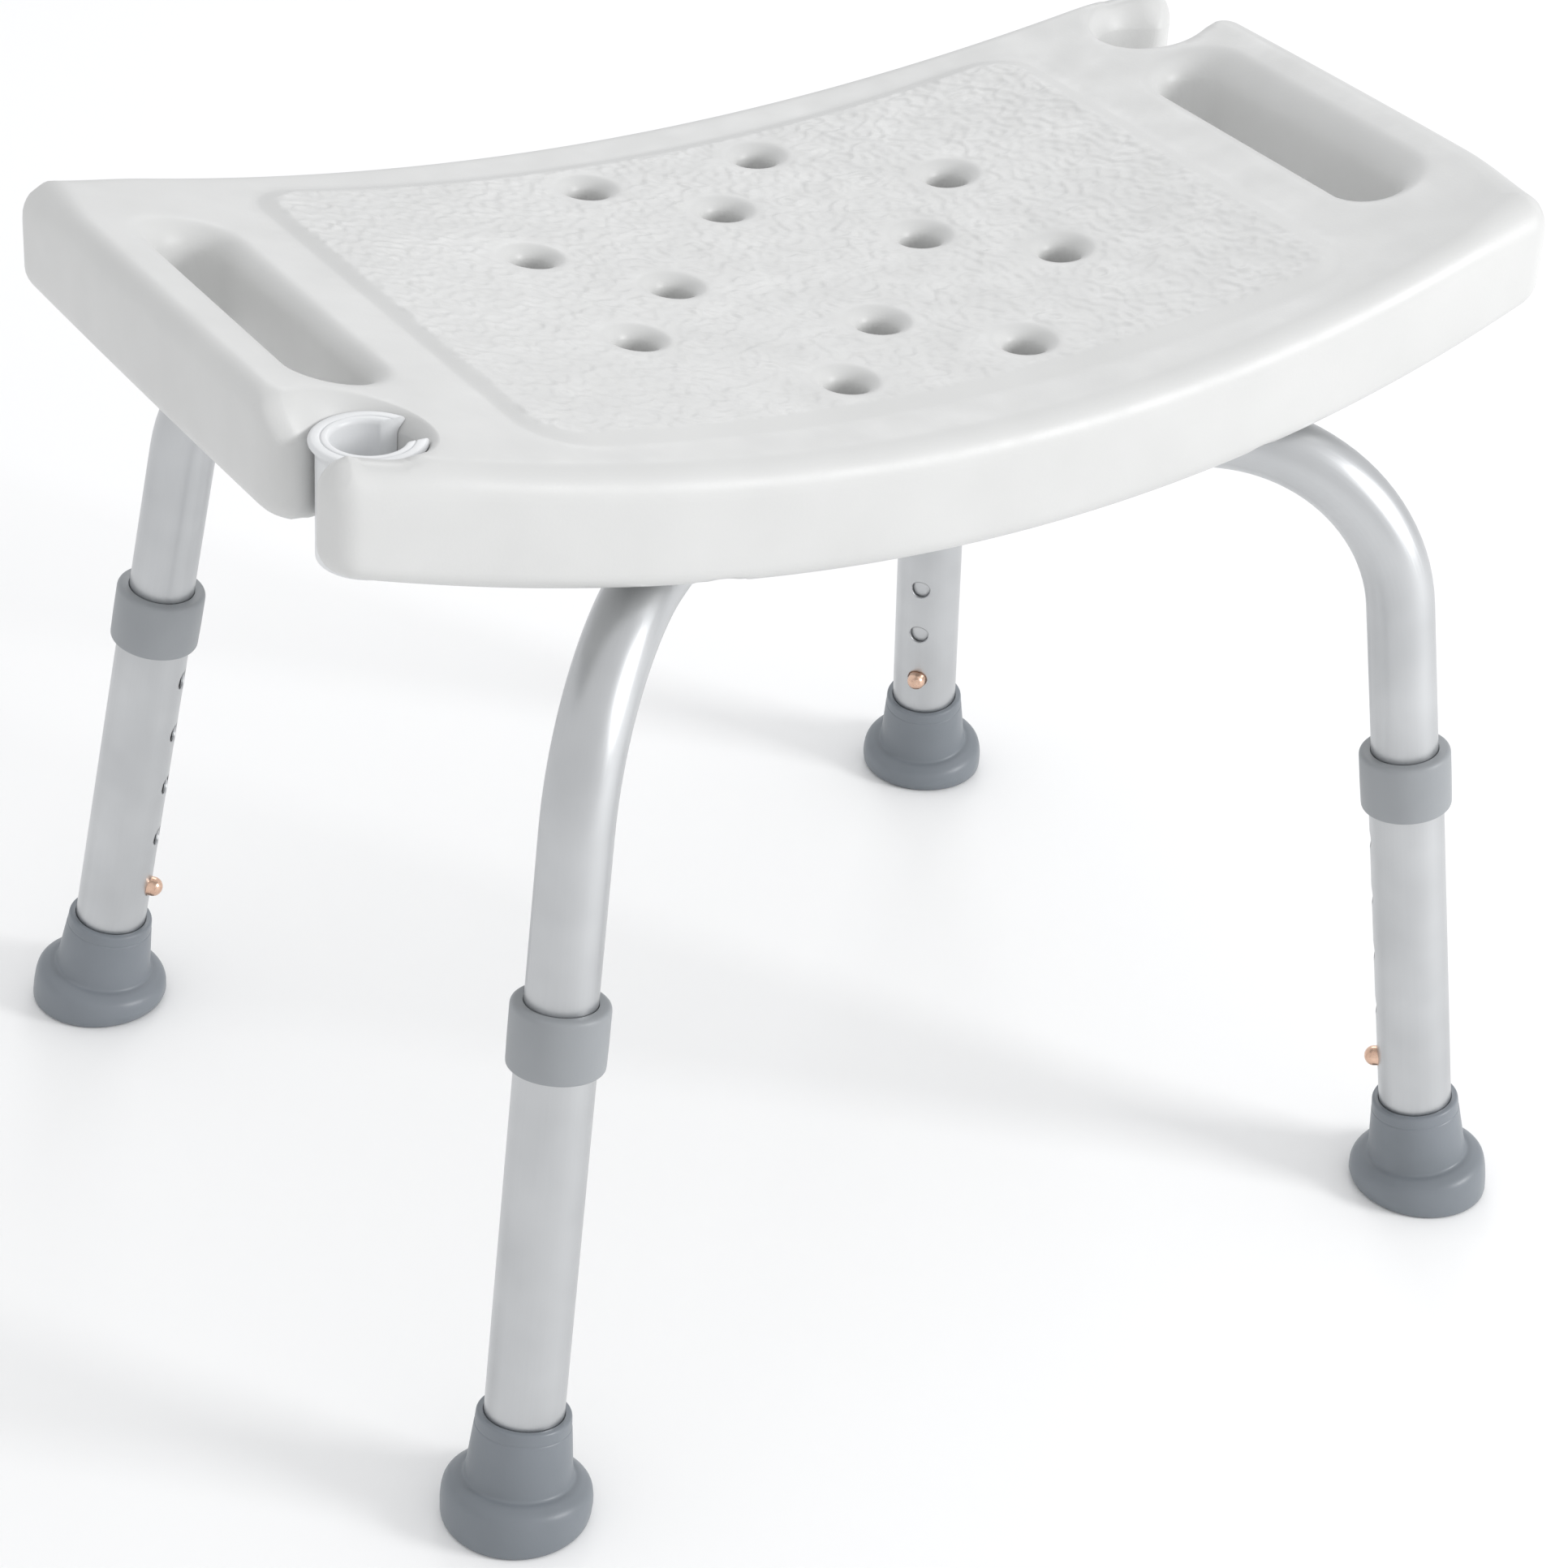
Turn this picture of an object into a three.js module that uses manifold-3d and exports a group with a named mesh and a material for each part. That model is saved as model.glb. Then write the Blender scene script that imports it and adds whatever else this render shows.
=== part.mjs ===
// Height-adjustable shower stool: a hollow blow-moulded seat on two crossed, bent tubes, with four
// telescoping legs, spring-button height locks and a turning sleeve that holds a hand shower.
// Millimetres. +Z is up, +X runs along the seat, the front is -Y, and z = 0 is the floor.
import * as THREE from "three";
import { mergeVertices } from "three/addons/utils/BufferGeometryUtils.js";
import Module from "manifold-3d";

const wasm = await Module();
wasm.setup();

// ---- Driving dimensions ----
const GAP = 0.3; // play between pieces that touch

// The seat's plan: half sizes at the corners, and how far each side stands out at its middle.
const SEAT = { halfLength: 250.5, halfDepth: 125, corner: 16, sideBulge: 17.5, endBulge: 1.2 };
const SEAT_TOP_Z = 365; // top surface at the middle
const SEAT_CURVE = 0.00057; // rise of the top surface per millimetre squared of x
const SEAT_THICKNESS = 44;
const SEAT_WALL = 3.2;
const TOP_ROUND = 11;
const BOTTOM_ROUND = 8;
const VENT = { radius: 2.2, x: 0, y: 30 };

const PANEL = { halfLength: 170, halfDepth: 114, corner: 26, sideBulge: 2, endBulge: 0 };
const PANEL_SHOULDER = 7;
const PANEL_RISE = 2.2;
const DRAINS = { through: 7.2, ease: 8.4, mouth: 11.8, depth: 6, wall: 10.6 };
const DRAIN_RINGS = { outer: 97.5, inner: 53.2 };

const SLOT = { x: 210.5, y: -10.5, halfLength: 65.5, halfWidth: 12.5, lip: 8, lipDepth: 9 };
const NOTCH = { x: 222, y: 94, pocket: 17.4, throat: 11, throatEnd: 19.5, flare: 9 };
const ARCH = { x: 116, halfWidth: 12.5, height: 2.8, inward: 22 };

const SLEEVE = { outer: 17, bore: 12.3, flange: 19.6, bottomZ: 345, topZ: 388, slot: 17 };
const SLEEVE_FLANGE_DEPTH = 5;

const LEG_PLAN_ANGLE = THREE.MathUtils.degToRad(41.17); // of each tube's plane, from the X axis
const LEG_LEAN = THREE.MathUtils.degToRad(9.24);
const FOOT_RADIUS = 275; // from the stool's centre to a foot's centre, on the floor
const FRAME_TUBE = { radius: 12.7, wall: 1.5, runZ: 320, bend: 72, lowEnd: 42, sides: 16 };
const DIP = { depth: 30, inner: 15, outer: 95 }; // where the lower frame tube passes under the other

const LEG_TUBE = { radius: 14.3, wall: 1.3, low: 8.7, high: 197.5 };
const HOLE_PITCH = 25.4;
const HOLE_COUNT = 5;
const HOLE_RADIUS = 4.4;
const BUTTON_HEIGHT = 60.3; // along the leg, from the floor
const BUTTON = { radius: 4, shoulder: 5.4, base: 7.6, shoulderTop: 9.2, dome: 15.6, tip: 19.4 };
// The spring strip, in the leg's plane: its two arms, how far they run straight to each side of the
// button, and the bend that joins them above it.
const CLIP = { width: 8, thickness: 0.8, nearArm: -6.7, farArm: 9, flat: 9, bend: 42, bendTop: 51 };
const COLLAR = { radius: 17.35, low: 177, high: 201, lip: 3, edge: 2.2 };
const FOOT = { flange: 27.25, flangeTop: 13, neck: 19.25, neckTop: 17.25, step: 5, top: 41.2, bore: 6.5 };
const FOOT_DISC = { radius: 14.2, hole: 4, low: 6.8, high: 8.4 };

const SCREW = { shank: 2.9, hole: 3.4, head: 5.5, headHeight: 3.2, topZ: 347, reach: 115, point: 1.5 };
const INSERT = { outer: 4.9, bore: 3.2, low: 334, high: 349.5, boss: 8.4, wall: 3.4 };
const SADDLE = { radius: 9, low: 2.8, wing: 3.4 };
const SPACER = { radius: 13, wing: 7 }; // it reaches to a wing's length from each tube's axis

// ---- Materials ----
const material = (color, roughness, metalness) =>
  new THREE.MeshStandardMaterial({ color, roughness, metalness });
const whitePlastic = material(0xe9ebec, 0.45, 0);
const aluminium = material(0xc3c6c9, 0.35, 0.9);
const greyPlastic = material(0x969ba0, 0.5, 0);
const greyRubber = material(0x808791, 0.8, 0);
const brass = material(0xc08a5a, 0.3, 1);
const steel = material(0xa8abae, 0.3, 1);

// ---- Solids ----
// A closed geometry as a manifold solid.
function solid(geometry) {
  const bare = geometry.clone();
  bare.deleteAttribute("normal");
  bare.deleteAttribute("uv");
  const merged = mergeVertices(bare, 1e-4);
  const mesh = new wasm.Mesh({
    numProp: 3,
    vertProperties: merged.attributes.position.array,
    triVerts: new Uint32Array(merged.index.array),
  });
  return new wasm.Manifold(mesh);
}

function meshOf(name, look, body) {
  const { vertProperties, triVerts } = body.getMesh();
  const geometry = new THREE.BufferGeometry();
  geometry.setAttribute("position", new THREE.BufferAttribute(vertProperties, 3));
  geometry.setIndex(new THREE.BufferAttribute(triVerts, 1));
  geometry.computeVertexNormals();
  const mesh = new THREE.Mesh(geometry, look);
  mesh.name = name;
  return mesh;
}

// A round bar along +Z.
function rod(radius, low, high, sides = 12) {
  const bar = new THREE.CylinderGeometry(radius, radius, high - low, sides);
  return bar.rotateX(Math.PI / 2).translate(0, 0, (low + high) / 2);
}

// A profile of [radius, height] points, anticlockwise, turned about +Z.
function turned(profile, sides) {
  const points = profile.map(([radius, height]) => new THREE.Vector2(radius, height));
  return new THREE.LatheGeometry(points, sides).rotateX(Math.PI / 2);
}

// Stacked rings of equal point count, anticlockwise from above and from bottom to top, as one skin.
function loft(rings) {
  const count = rings[0].length;
  const positions = rings.flat().flatMap((point) => point.toArray());
  const index = [];
  for (let ring = 0; ring + 1 < rings.length; ring += 1) {
    for (let i = 0; i < count; i += 1) {
      const a = ring * count + i;
      const b = ring * count + ((i + 1) % count);
      index.push(a, b, b + count, a, b + count, a + count);
    }
  }
  for (const [ring, turn] of [[0, -1], [rings.length - 1, 1]]) {
    const middle = new THREE.Vector3();
    rings[ring].forEach((point) => middle.add(point));
    middle.divideScalar(count);
    middle.z = rings[ring].capZ ?? middle.z;
    const centre = positions.length / 3;
    positions.push(...middle.toArray());
    for (let i = 0; i < count; i += 1) {
      const a = ring * count + i;
      const b = ring * count + ((i + 1) % count);
      index.push(...(turn > 0 ? [centre, a, b] : [centre, b, a]));
    }
  }
  const geometry = new THREE.BufferGeometry();
  geometry.setAttribute("position", new THREE.Float32BufferAttribute(positions, 3));
  geometry.setIndex(index);
  return geometry;
}

// ---- Seat outlines, as anticlockwise lists of Vector2 ----
const seatTop = (x) => SEAT_TOP_Z + SEAT_CURVE * x * x;

function bezier(from, control, to, steps) {
  const curve = new THREE.QuadraticBezierCurve(from, control, to);
  return curve.getPoints(steps).slice(0, -1);
}

// Front side, right corner and right end with its far corner, then the same turned by half a turn.
// Long sides and ends are parabolas that stand out by a bulge at their middle.
function plateOutline({ halfLength, halfDepth, corner, sideBulge, endBulge }) {
  const sideX = halfLength - corner;
  const endY = halfDepth - corner;
  const sideSlope = (2 * sideBulge * sideX) / halfLength ** 2;
  const endSlope = (2 * endBulge * endY) / halfDepth ** 2;
  const sideY = halfDepth + sideBulge * (1 - (sideX / halfLength) ** 2);
  const endX = halfLength + endBulge * (1 - (endY / halfDepth) ** 2);
  const cornerX = endX - endSlope * corner;
  const cornerY = sideY - sideSlope * (cornerX - sideX);
  const at = (x, y) => new THREE.Vector2(x, y);
  const half = [
    ...bezier(at(-sideX, -sideY), at(0, -sideY - sideSlope * sideX), at(sideX, -sideY), 9),
    ...bezier(at(sideX, -sideY), at(cornerX, -cornerY), at(endX, -endY), 4),
    ...bezier(at(endX, -endY), at(endX + endSlope * endY, 0), at(endX, endY), 4),
    ...bezier(at(endX, endY), at(cornerX, cornerY), at(sideX, sideY), 4),
  ];
  return [...half, ...half.map((point) => point.clone().negate())];
}

function roundedRectangle(halfX, halfY, corner, steps) {
  const points = [];
  const centres = [[1, -1], [1, 1], [-1, 1], [-1, -1]];
  centres.forEach(([sideX, sideY], quarter) => {
    for (let i = 0; i <= steps; i += 1) {
      const angle = ((quarter - 1 + i / steps) * Math.PI) / 2;
      const x = sideX * (halfX - corner) + corner * Math.cos(angle);
      const y = sideY * (halfY - corner) + corner * Math.sin(angle);
      points.push(new THREE.Vector2(x, y));
    }
  });
  return points;
}

// Moves each point of an anticlockwise outline inwards, square to its neighbours.
function insetBy(outline, distance) {
  return outline.map((point, i) => {
    const before = outline.at(i - 1);
    const after = outline[(i + 1) % outline.length];
    const along = after.clone().sub(before).normalize();
    return new THREE.Vector2(point.x - along.y * distance, point.y + along.x * distance);
  });
}

// An outline at a height measured from the curved top surface.
function ringOnSeat(outline, height, scale = 1) {
  const ring = outline.map(({ x, y }) => {
    return new THREE.Vector3(x * scale, y * scale, seatTop(x * scale) + height);
  });
  if (scale < 0.5) ring.capZ = SEAT_TOP_Z + height;
  return ring;
}

// A full cap of an outline at one height: rings that grow from the middle.
function capRings(outline, height) {
  return [0.33, 0.67].map((scale) => ringOnSeat(outline, height, scale));
}

// The whole seat as a plain block. The anti-slip panel stands a little proud of the top, with a
// sloped shoulder all round.
function seatBlank() {
  const outline = plateOutline(SEAT);
  const panel = plateOutline(PANEL);
  const crown = insetBy(panel, PANEL_SHOULDER);
  const under = -SEAT_THICKNESS;
  const cut = 1 - Math.SQRT1_2; // how far the middle of a quarter round stands in, over its radius
  const innerBottom = insetBy(outline, BOTTOM_ROUND);
  return solid(loft([
    ...capRings(innerBottom, under),
    ringOnSeat(innerBottom, under),
    ringOnSeat(insetBy(outline, BOTTOM_ROUND * cut), under + BOTTOM_ROUND * cut),
    ringOnSeat(outline, under + BOTTOM_ROUND),
    ringOnSeat(outline, -TOP_ROUND),
    ringOnSeat(insetBy(outline, TOP_ROUND * cut), -TOP_ROUND * cut),
    ringOnSeat(insetBy(outline, TOP_ROUND), 0),
    ringOnSeat(panel, 0),
    ringOnSeat(crown, PANEL_RISE),
    ...capRings(crown, PANEL_RISE).reverse(),
  ]));
}

function seatCavity() {
  const outline = insetBy(plateOutline(SEAT), SEAT_WALL);
  const narrow = insetBy(outline, TOP_ROUND - SEAT_WALL);
  const under = SEAT_WALL - SEAT_THICKNESS;
  return solid(loft([
    ...capRings(narrow, under),
    ringOnSeat(narrow, under),
    ringOnSeat(outline, under + BOTTOM_ROUND),
    ringOnSeat(outline, -TOP_ROUND),
    ringOnSeat(narrow, -SEAT_WALL),
    ...capRings(narrow, -SEAT_WALL).reverse(),
  ]));
}

// ---- Openings in the seat: each gives the cut and the wall that stands round it inside ----
const WELL_LOW = 300;
const WELL_HIGH = 420;

function drainCentres() {
  const eighth = Math.PI / 4;
  const outer = Array.from({ length: 8 }, (_, i) => [DRAIN_RINGS.outer, (i + 0.5) * eighth]);
  const inner = Array.from({ length: 4 }, (_, i) => [DRAIN_RINGS.inner, i * 2 * eighth]);
  return [...outer, ...inner].map(([radius, angle]) => {
    return [radius * Math.cos(angle), radius * Math.sin(angle)];
  });
}

function drainCut([x, y]) {
  const top = seatTop(x) + PANEL_RISE;
  const profile = [
    [0, WELL_LOW],
    [DRAINS.through, WELL_LOW],
    [DRAINS.through, top - DRAINS.depth],
    [DRAINS.ease, top - DRAINS.depth * 0.4],
    [DRAINS.mouth, top + 0.4],
    [DRAINS.mouth, top + 8],
    [0, top + 8],
  ];
  return solid(turned(profile, 12).translate(x, y, 0));
}

function slotOutline(grow, steps = 4) {
  const outline = roundedRectangle(
    SLOT.halfWidth + grow, SLOT.halfLength + grow, SLOT.halfWidth + grow - 0.5, steps,
  );
  return outline.map(({ x, y }) => new THREE.Vector2(x + SLOT.x, y + SLOT.y));
}

function slotCut() {
  return loft([
    ringOnSeat(slotOutline(0), -70),
    ringOnSeat(slotOutline(0), -SLOT.lipDepth),
    ringOnSeat(slotOutline(SLOT.lip * 0.3), -SLOT.lipDepth * 0.3),
    ringOnSeat(slotOutline(SLOT.lip), 0.3),
    ringOnSeat(slotOutline(SLOT.lip), 12),
  ]);
}

function slotWall() {
  return loft([
    ringOnSeat(slotOutline(SEAT_WALL, 2), -70),
    ringOnSeat(slotOutline(SEAT_WALL, 2), -SLOT.lipDepth - SEAT_WALL),
    ringOnSeat(slotOutline(SLOT.lip + SEAT_WALL, 2), 12),
  ]);
}

// A round pocket with a narrower throat that flares open through the seat's end.
function notchWell(grow, curveSegments = 8) {
  const pocket = NOTCH.pocket + grow;
  const throat = NOTCH.throat + grow;
  const flare = NOTCH.flare - grow;
  const start = Math.asin(throat / pocket);
  const mouthX = NOTCH.throatEnd + flare;
  const outside = mouthX + 25;
  const shape = new THREE.Shape();
  shape.absarc(0, 0, pocket, start, 2 * Math.PI - start, false);
  shape.lineTo(NOTCH.throatEnd, -throat);
  shape.absarc(NOTCH.throatEnd, -throat - flare, flare, Math.PI / 2, 0, true);
  shape.lineTo(outside, -throat - flare);
  shape.lineTo(outside, throat + flare);
  shape.absarc(NOTCH.throatEnd, throat + flare, flare, 0, -Math.PI / 2, true);
  shape.closePath();
  const depth = WELL_HIGH - WELL_LOW;
  const well = new THREE.ExtrudeGeometry(shape, { depth, bevelEnabled: false, curveSegments });
  return well.translate(NOTCH.x, NOTCH.y, WELL_LOW);
}

// The conical lip that the sleeve's flange sits in.
function notchLip(grow, sides = 24) {
  const low = SLEEVE.topZ - SLEEVE_FLANGE_DEPTH - 1 - grow;
  const radius = NOTCH.pocket + grow;
  const profile = [
    [0, low - 10],
    [radius, low - 10],
    [radius, low],
    [radius + 4.4, low + 8],
    [radius + 4.4, WELL_HIGH],
    [0, WELL_HIGH],
  ];
  return turned(profile, sides).translate(NOTCH.x, NOTCH.y, 0);
}

// Shallow drainage arches under the long sides.
function archBar(x, grow, sides = 28) {
  const radius = (ARCH.halfWidth ** 2 + ARCH.height ** 2) / (2 * ARCH.height);
  const bottom = seatTop(ARCH.x) - SEAT_THICKNESS;
  const high = SEAT.halfDepth + 40;
  const low = SEAT.halfDepth + SEAT.sideBulge - ARCH.inward;
  const bar = new THREE.CylinderGeometry(radius + grow, radius + grow, high - low + grow, sides);
  bar.translate(0, (high + low - grow) / 2, 0);
  return bar.translate(x, 0, bottom + ARCH.height - radius);
}

// ---- Tube paths ----
// A path whose stations fall only where the tube bends.
class Spine extends THREE.Curve {
  constructor(stations) {
    super();
    this.points = stations.map(([x, z]) => new THREE.Vector3(x, 0, z));
    this.tangents = stations.map(([, , dx, dz]) => new THREE.Vector3(dx, 0, dz));
  }
  getPoint(t, target = new THREE.Vector3()) {
    return target.copy(this.points[Math.round(t * (this.points.length - 1))]);
  }
  getPointAt(u, target) {
    return this.getPoint(u, target);
  }
  getTangentAt(u, target = new THREE.Vector3()) {
    return target.copy(this.tangents[Math.round(u * (this.tangents.length - 1))]);
  }
}

function roundBarAlong(stations, radius, sides) {
  const corners = Array.from({ length: sides }, (_, i) => {
    const angle = (2 * Math.PI * i) / sides;
    return new THREE.Vector2(radius * Math.cos(angle), radius * Math.sin(angle));
  });
  return new THREE.ExtrudeGeometry(new THREE.Shape(corners), {
    extrudePath: new Spine(stations),
    steps: stations.length - 1,
    bevelEnabled: false,
  });
}

// Stations [x, z, dx, dz] of half a frame tube, from the stool's centre line outwards: level, then
// one bend, then straight down the leg. A dip takes one tube under the other at the centre.
function halfTube(dip, overrun) {
  const { bend, runZ, lowEnd } = FRAME_TUBE;
  const turn = Math.PI / 2 - LEG_LEAN;
  const cornerX = FOOT_RADIUS - runZ * Math.tan(LEG_LEAN);
  const bendX = cornerX - bend * Math.tan(turn / 2);
  const stations = [[0, runZ - dip, 1, 0]];
  if (dip > 0) {
    const steps = 3;
    const angle = 2 * Math.atan(dip / (DIP.outer - DIP.inner));
    const radius = (DIP.outer - DIP.inner) / (2 * Math.sin(angle));
    for (let i = 0; i <= steps; i += 1) {
      const a = (angle * i) / steps;
      const x = DIP.inner + radius * Math.sin(a);
      stations.push([x, runZ - dip + radius * (1 - Math.cos(a)), Math.cos(a), Math.sin(a)]);
    }
    for (let i = steps - 1; i >= 0; i -= 1) {
      const a = (angle * i) / steps;
      const x = DIP.outer - radius * Math.sin(a);
      stations.push([x, runZ - radius * (1 - Math.cos(a)), Math.cos(a), Math.sin(a)]);
    }
  }
  const bendSteps = 6;
  for (let i = 0; i <= bendSteps; i += 1) {
    const a = Math.PI / 2 - (turn * i) / bendSteps;
    const x = bendX + bend * Math.cos(a);
    stations.push([x, runZ - bend + bend * Math.sin(a), Math.sin(a), -Math.cos(a)]);
  }
  const low = lowEnd - overrun;
  const down = [Math.sin(LEG_LEAN), -Math.cos(LEG_LEAN)];
  stations.push([FOOT_RADIUS - low * down[0], -low * down[1], ...down]);
  return stations;
}

function wholeTube(dip, overrun = 0) {
  const right = halfTube(dip, overrun);
  const left = right.slice(1).reverse().map(([x, z, dx, dz]) => [-x, z, dx, -dz]);
  return [...left, ...right];
}

// From a leg's own frame, +Z up its axis and +X outwards, into the frame of its tube's plane.
function legPlace(side) {
  const place = new THREE.Matrix4().makeRotationY(-LEG_LEAN).setPosition(FOOT_RADIUS, 0, 0);
  return side > 0 ? place : place.premultiply(new THREE.Matrix4().makeRotationZ(Math.PI));
}

// A round hole through the inward wall of a leg.
function buttonHole(height) {
  const hole = new THREE.CylinderGeometry(HOLE_RADIUS, HOLE_RADIUS, 14, 10);
  return hole.rotateZ(Math.PI / 2).translate(-12.7, 0, height);
}

// ---- The pieces ----
function seatShell() {
  const walls = [];
  const cuts = [];
  for (const centre of drainCentres()) {
    walls.push(solid(rod(DRAINS.wall, WELL_LOW, WELL_HIGH, 8).translate(...centre, 0)));
    cuts.push(drainCut(centre));
  }
  for (const turn of [0, Math.PI]) {
    walls.push(solid(slotWall().rotateZ(turn)));
    cuts.push(solid(slotCut().rotateZ(turn)));
    walls.push(solid(notchWell(SEAT_WALL, 4).rotateZ(turn)));
    walls.push(solid(notchLip(SEAT_WALL + 0.5, 10).rotateZ(turn)));
    cuts.push(solid(notchWell(0).rotateZ(turn)));
    cuts.push(solid(notchLip(0).rotateZ(turn)));
    for (const x of [-ARCH.x, ARCH.x]) {
      walls.push(solid(archBar(x, SEAT_WALL, 12).rotateZ(turn)));
      cuts.push(solid(archBar(x, 0).rotateZ(turn)));
    }
  }
  for (const sign of [1, -1]) {
    const turn = sign * LEG_PLAN_ANGLE;
    const channel = (grow, sides) => {
      const radius = FRAME_TUBE.radius + 2 * GAP + grow;
      return solid(roundBarAlong(wholeTube(0), radius, sides).rotateZ(turn));
    };
    walls.push(channel(SEAT_WALL + 1, 8));
    cuts.push(channel(0, FRAME_TUBE.sides));
  }
  for (const [x, y] of insertCentres()) {
    const top = INSERT.high + GAP;
    const boss = rod(INSERT.boss, FRAME_TUBE.runZ, top + INSERT.wall, 8);
    walls.push(solid(boss.translate(x, y, 0)));
    cuts.push(solid(rod(INSERT.outer + 2 * GAP, FRAME_TUBE.runZ, top).translate(x, y, 0)));
  }
  cuts.push(solid(rod(VENT.radius, WELL_LOW, SEAT_TOP_Z - 10).translate(VENT.x, VENT.y, 0)));
  const hollow = seatCavity().subtract(wasm.Manifold.union(walls));
  return seatBlank().subtract(hollow).subtract(wasm.Manifold.union(cuts));
}

// The centre insert first, then one over each arm of the crossed tubes.
function insertCentres() {
  const centres = [[0, 0]];
  for (const { angle } of LEGS) {
    centres.push([SCREW.reach * Math.cos(angle), SCREW.reach * Math.sin(angle)]);
  }
  return centres;
}

function frameTube(dip) {
  const { radius, wall, sides, runZ } = FRAME_TUBE;
  let tube = solid(roundBarAlong(wholeTube(dip), radius, sides));
  tube = tube.subtract(solid(roundBarAlong(wholeTube(dip, 2), radius - wall, sides)));
  for (const x of [-SCREW.reach, 0, SCREW.reach]) {
    const low = runZ - dip - 2 * radius;
    tube = tube.subtract(solid(rod(SCREW.hole, low, runZ + 2 * radius).translate(x, 0, 0)));
  }
  for (const side of [1, -1]) {
    tube = tube.subtract(solid(buttonHole(BUTTON_HEIGHT).applyMatrix4(legPlace(side))));
  }
  return tube;
}

function legTube() {
  const { radius, wall, low, high } = LEG_TUBE;
  let tube = solid(rod(radius, low, high, FRAME_TUBE.sides));
  tube = tube.subtract(solid(rod(radius - wall, low - 2, high + 2, FRAME_TUBE.sides)));
  for (let i = 0; i < HOLE_COUNT; i += 1) {
    tube = tube.subtract(solid(buttonHole(BUTTON_HEIGHT + i * HOLE_PITCH)));
  }
  return tube;
}

function legCollar() {
  const { radius, low, high, lip, edge } = COLLAR;
  const sleeve = LEG_TUBE.radius + GAP;
  const guide = FRAME_TUBE.radius + GAP;
  return solid(turned([
    [sleeve, low],
    [radius - 1.2, low],
    [radius, low + edge],
    [radius, high - lip],
    [radius - 1, high - 0.8],
    [radius - edge - 0.2, high],
    [guide, high],
    [guide, high - lip],
    [sleeve, high - lip],
    [sleeve, low],
  ], 18));
}

// The tip is turned about the leg's axis and then cut level with the floor.
function legFoot() {
  const { flange, flangeTop, neck, neckTop, step, top, bore } = FOOT;
  const inner = LEG_TUBE.radius + GAP;
  const blank = solid(turned([
    [0, -8],
    [flange, -8],
    [flange, flangeTop - 1.5],
    [flange - 1.3, flangeTop],
    [neck + 2, flangeTop + 1.4],
    [neck, flangeTop + 4],
    [neckTop, top - step],
    [neckTop - 0.6, top - step + 0.4],
    [neckTop, top - step + 1],
    [neckTop - 0.4, top],
    [inner, top],
    [inner, bore],
    [0, bore],
  ], 20));
  const under = new THREE.BoxGeometry(200, 200, 60).translate(0, 0, -30).rotateY(LEG_LEAN);
  return blank.subtract(solid(under));
}

function footDisc() {
  const { radius, hole, low, high } = FOOT_DISC;
  const profile = [[hole, low], [radius, low], [radius, high], [hole, high], [hole, low]];
  return solid(turned(profile, 16));
}

// The button's own axis points from the leg's axis towards the stool's centre.
function snapButton() {
  const { radius, shoulder, base, shoulderTop, dome, tip } = BUTTON;
  const profile = [[0, base], [shoulder, base], [shoulder, shoulderTop], [radius, shoulderTop]];
  for (const share of [0, 0.45, 0.75, 0.93]) {
    const angle = (share * Math.PI) / 2;
    profile.push([radius * Math.cos(angle), dome + (tip - dome) * Math.sin(angle)]);
  }
  profile.push([0, tip]);
  return solid(turned(profile, 12).rotateY(-Math.PI / 2).translate(0, 0, BUTTON_HEIGHT));
}

// A bent strip: one arm behind the button, the other on the tube's far wall.
function buttonClip() {
  const { nearArm, farArm, width, thickness } = CLIP;
  const flat = [BUTTON_HEIGHT - CLIP.flat, BUTTON_HEIGHT + CLIP.flat];
  const half = BUTTON_HEIGHT + (CLIP.flat + CLIP.bend) / 2;
  const bend = BUTTON_HEIGHT + CLIP.bend;
  const bendTop = BUTTON_HEIGHT + CLIP.bendTop;
  const arm = new THREE.Path();
  arm.moveTo(nearArm, flat[0]);
  arm.lineTo(nearArm, flat[1]);
  arm.quadraticCurveTo(nearArm + 0.5, half, nearArm + 3.3, bend);
  arm.bezierCurveTo(nearArm + 4.5, bendTop, farArm - 4, bendTop, farArm - 3.4, bend);
  arm.quadraticCurveTo(farArm - 1.4, half, farArm, flat[1]);
  arm.lineTo(farArm, flat[0]);
  const middle = arm.getPoints(3);
  const side = (sign) => middle.map((point, i) => {
    const before = middle[Math.max(i - 1, 0)];
    const after = middle[Math.min(i + 1, middle.length - 1)];
    const along = after.clone().sub(before).normalize().multiplyScalar((sign * thickness) / 2);
    return new THREE.Vector2(point.x - along.y, point.y + along.x);
  });
  const outline = new THREE.Shape([...side(1), ...side(-1).reverse()]);
  const strip = new THREE.ExtrudeGeometry(outline, { depth: width, bevelEnabled: false });
  return solid(strip.rotateX(Math.PI / 2).translate(0, width / 2, 0));
}

// A pan-head screw up through a tube whose lowest point is at tubeLow.
function screw(tubeLow) {
  const headTop = tubeLow - SADDLE.low - GAP;
  const { shank, head, headHeight, topZ, point } = SCREW;
  return solid(turned([
    [0, headTop - headHeight],
    [head * 0.7, headTop - headHeight],
    [head, headTop - headHeight * 0.5],
    [head, headTop],
    [shank, headTop],
    [shank, topZ - point],
    [shank - point + 0.2, topZ],
    [0, topZ],
  ], 12));
}

// A round saddle that fits the underside of a tube lying along X with its axis at tubeZ.
function saddle(tubeZ) {
  const tubeLow = tubeZ - FRAME_TUBE.radius;
  const low = tubeLow - SADDLE.low;
  let body = solid(rod(SADDLE.radius, low, tubeLow + SADDLE.wing, 16));
  const tube = rod(FRAME_TUBE.radius + GAP, -40, 40, 24).rotateY(Math.PI / 2);
  body = body.subtract(solid(tube.translate(0, 0, tubeZ)));
  return body.subtract(solid(rod(SCREW.hole, low - 5, tubeZ)));
}

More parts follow.
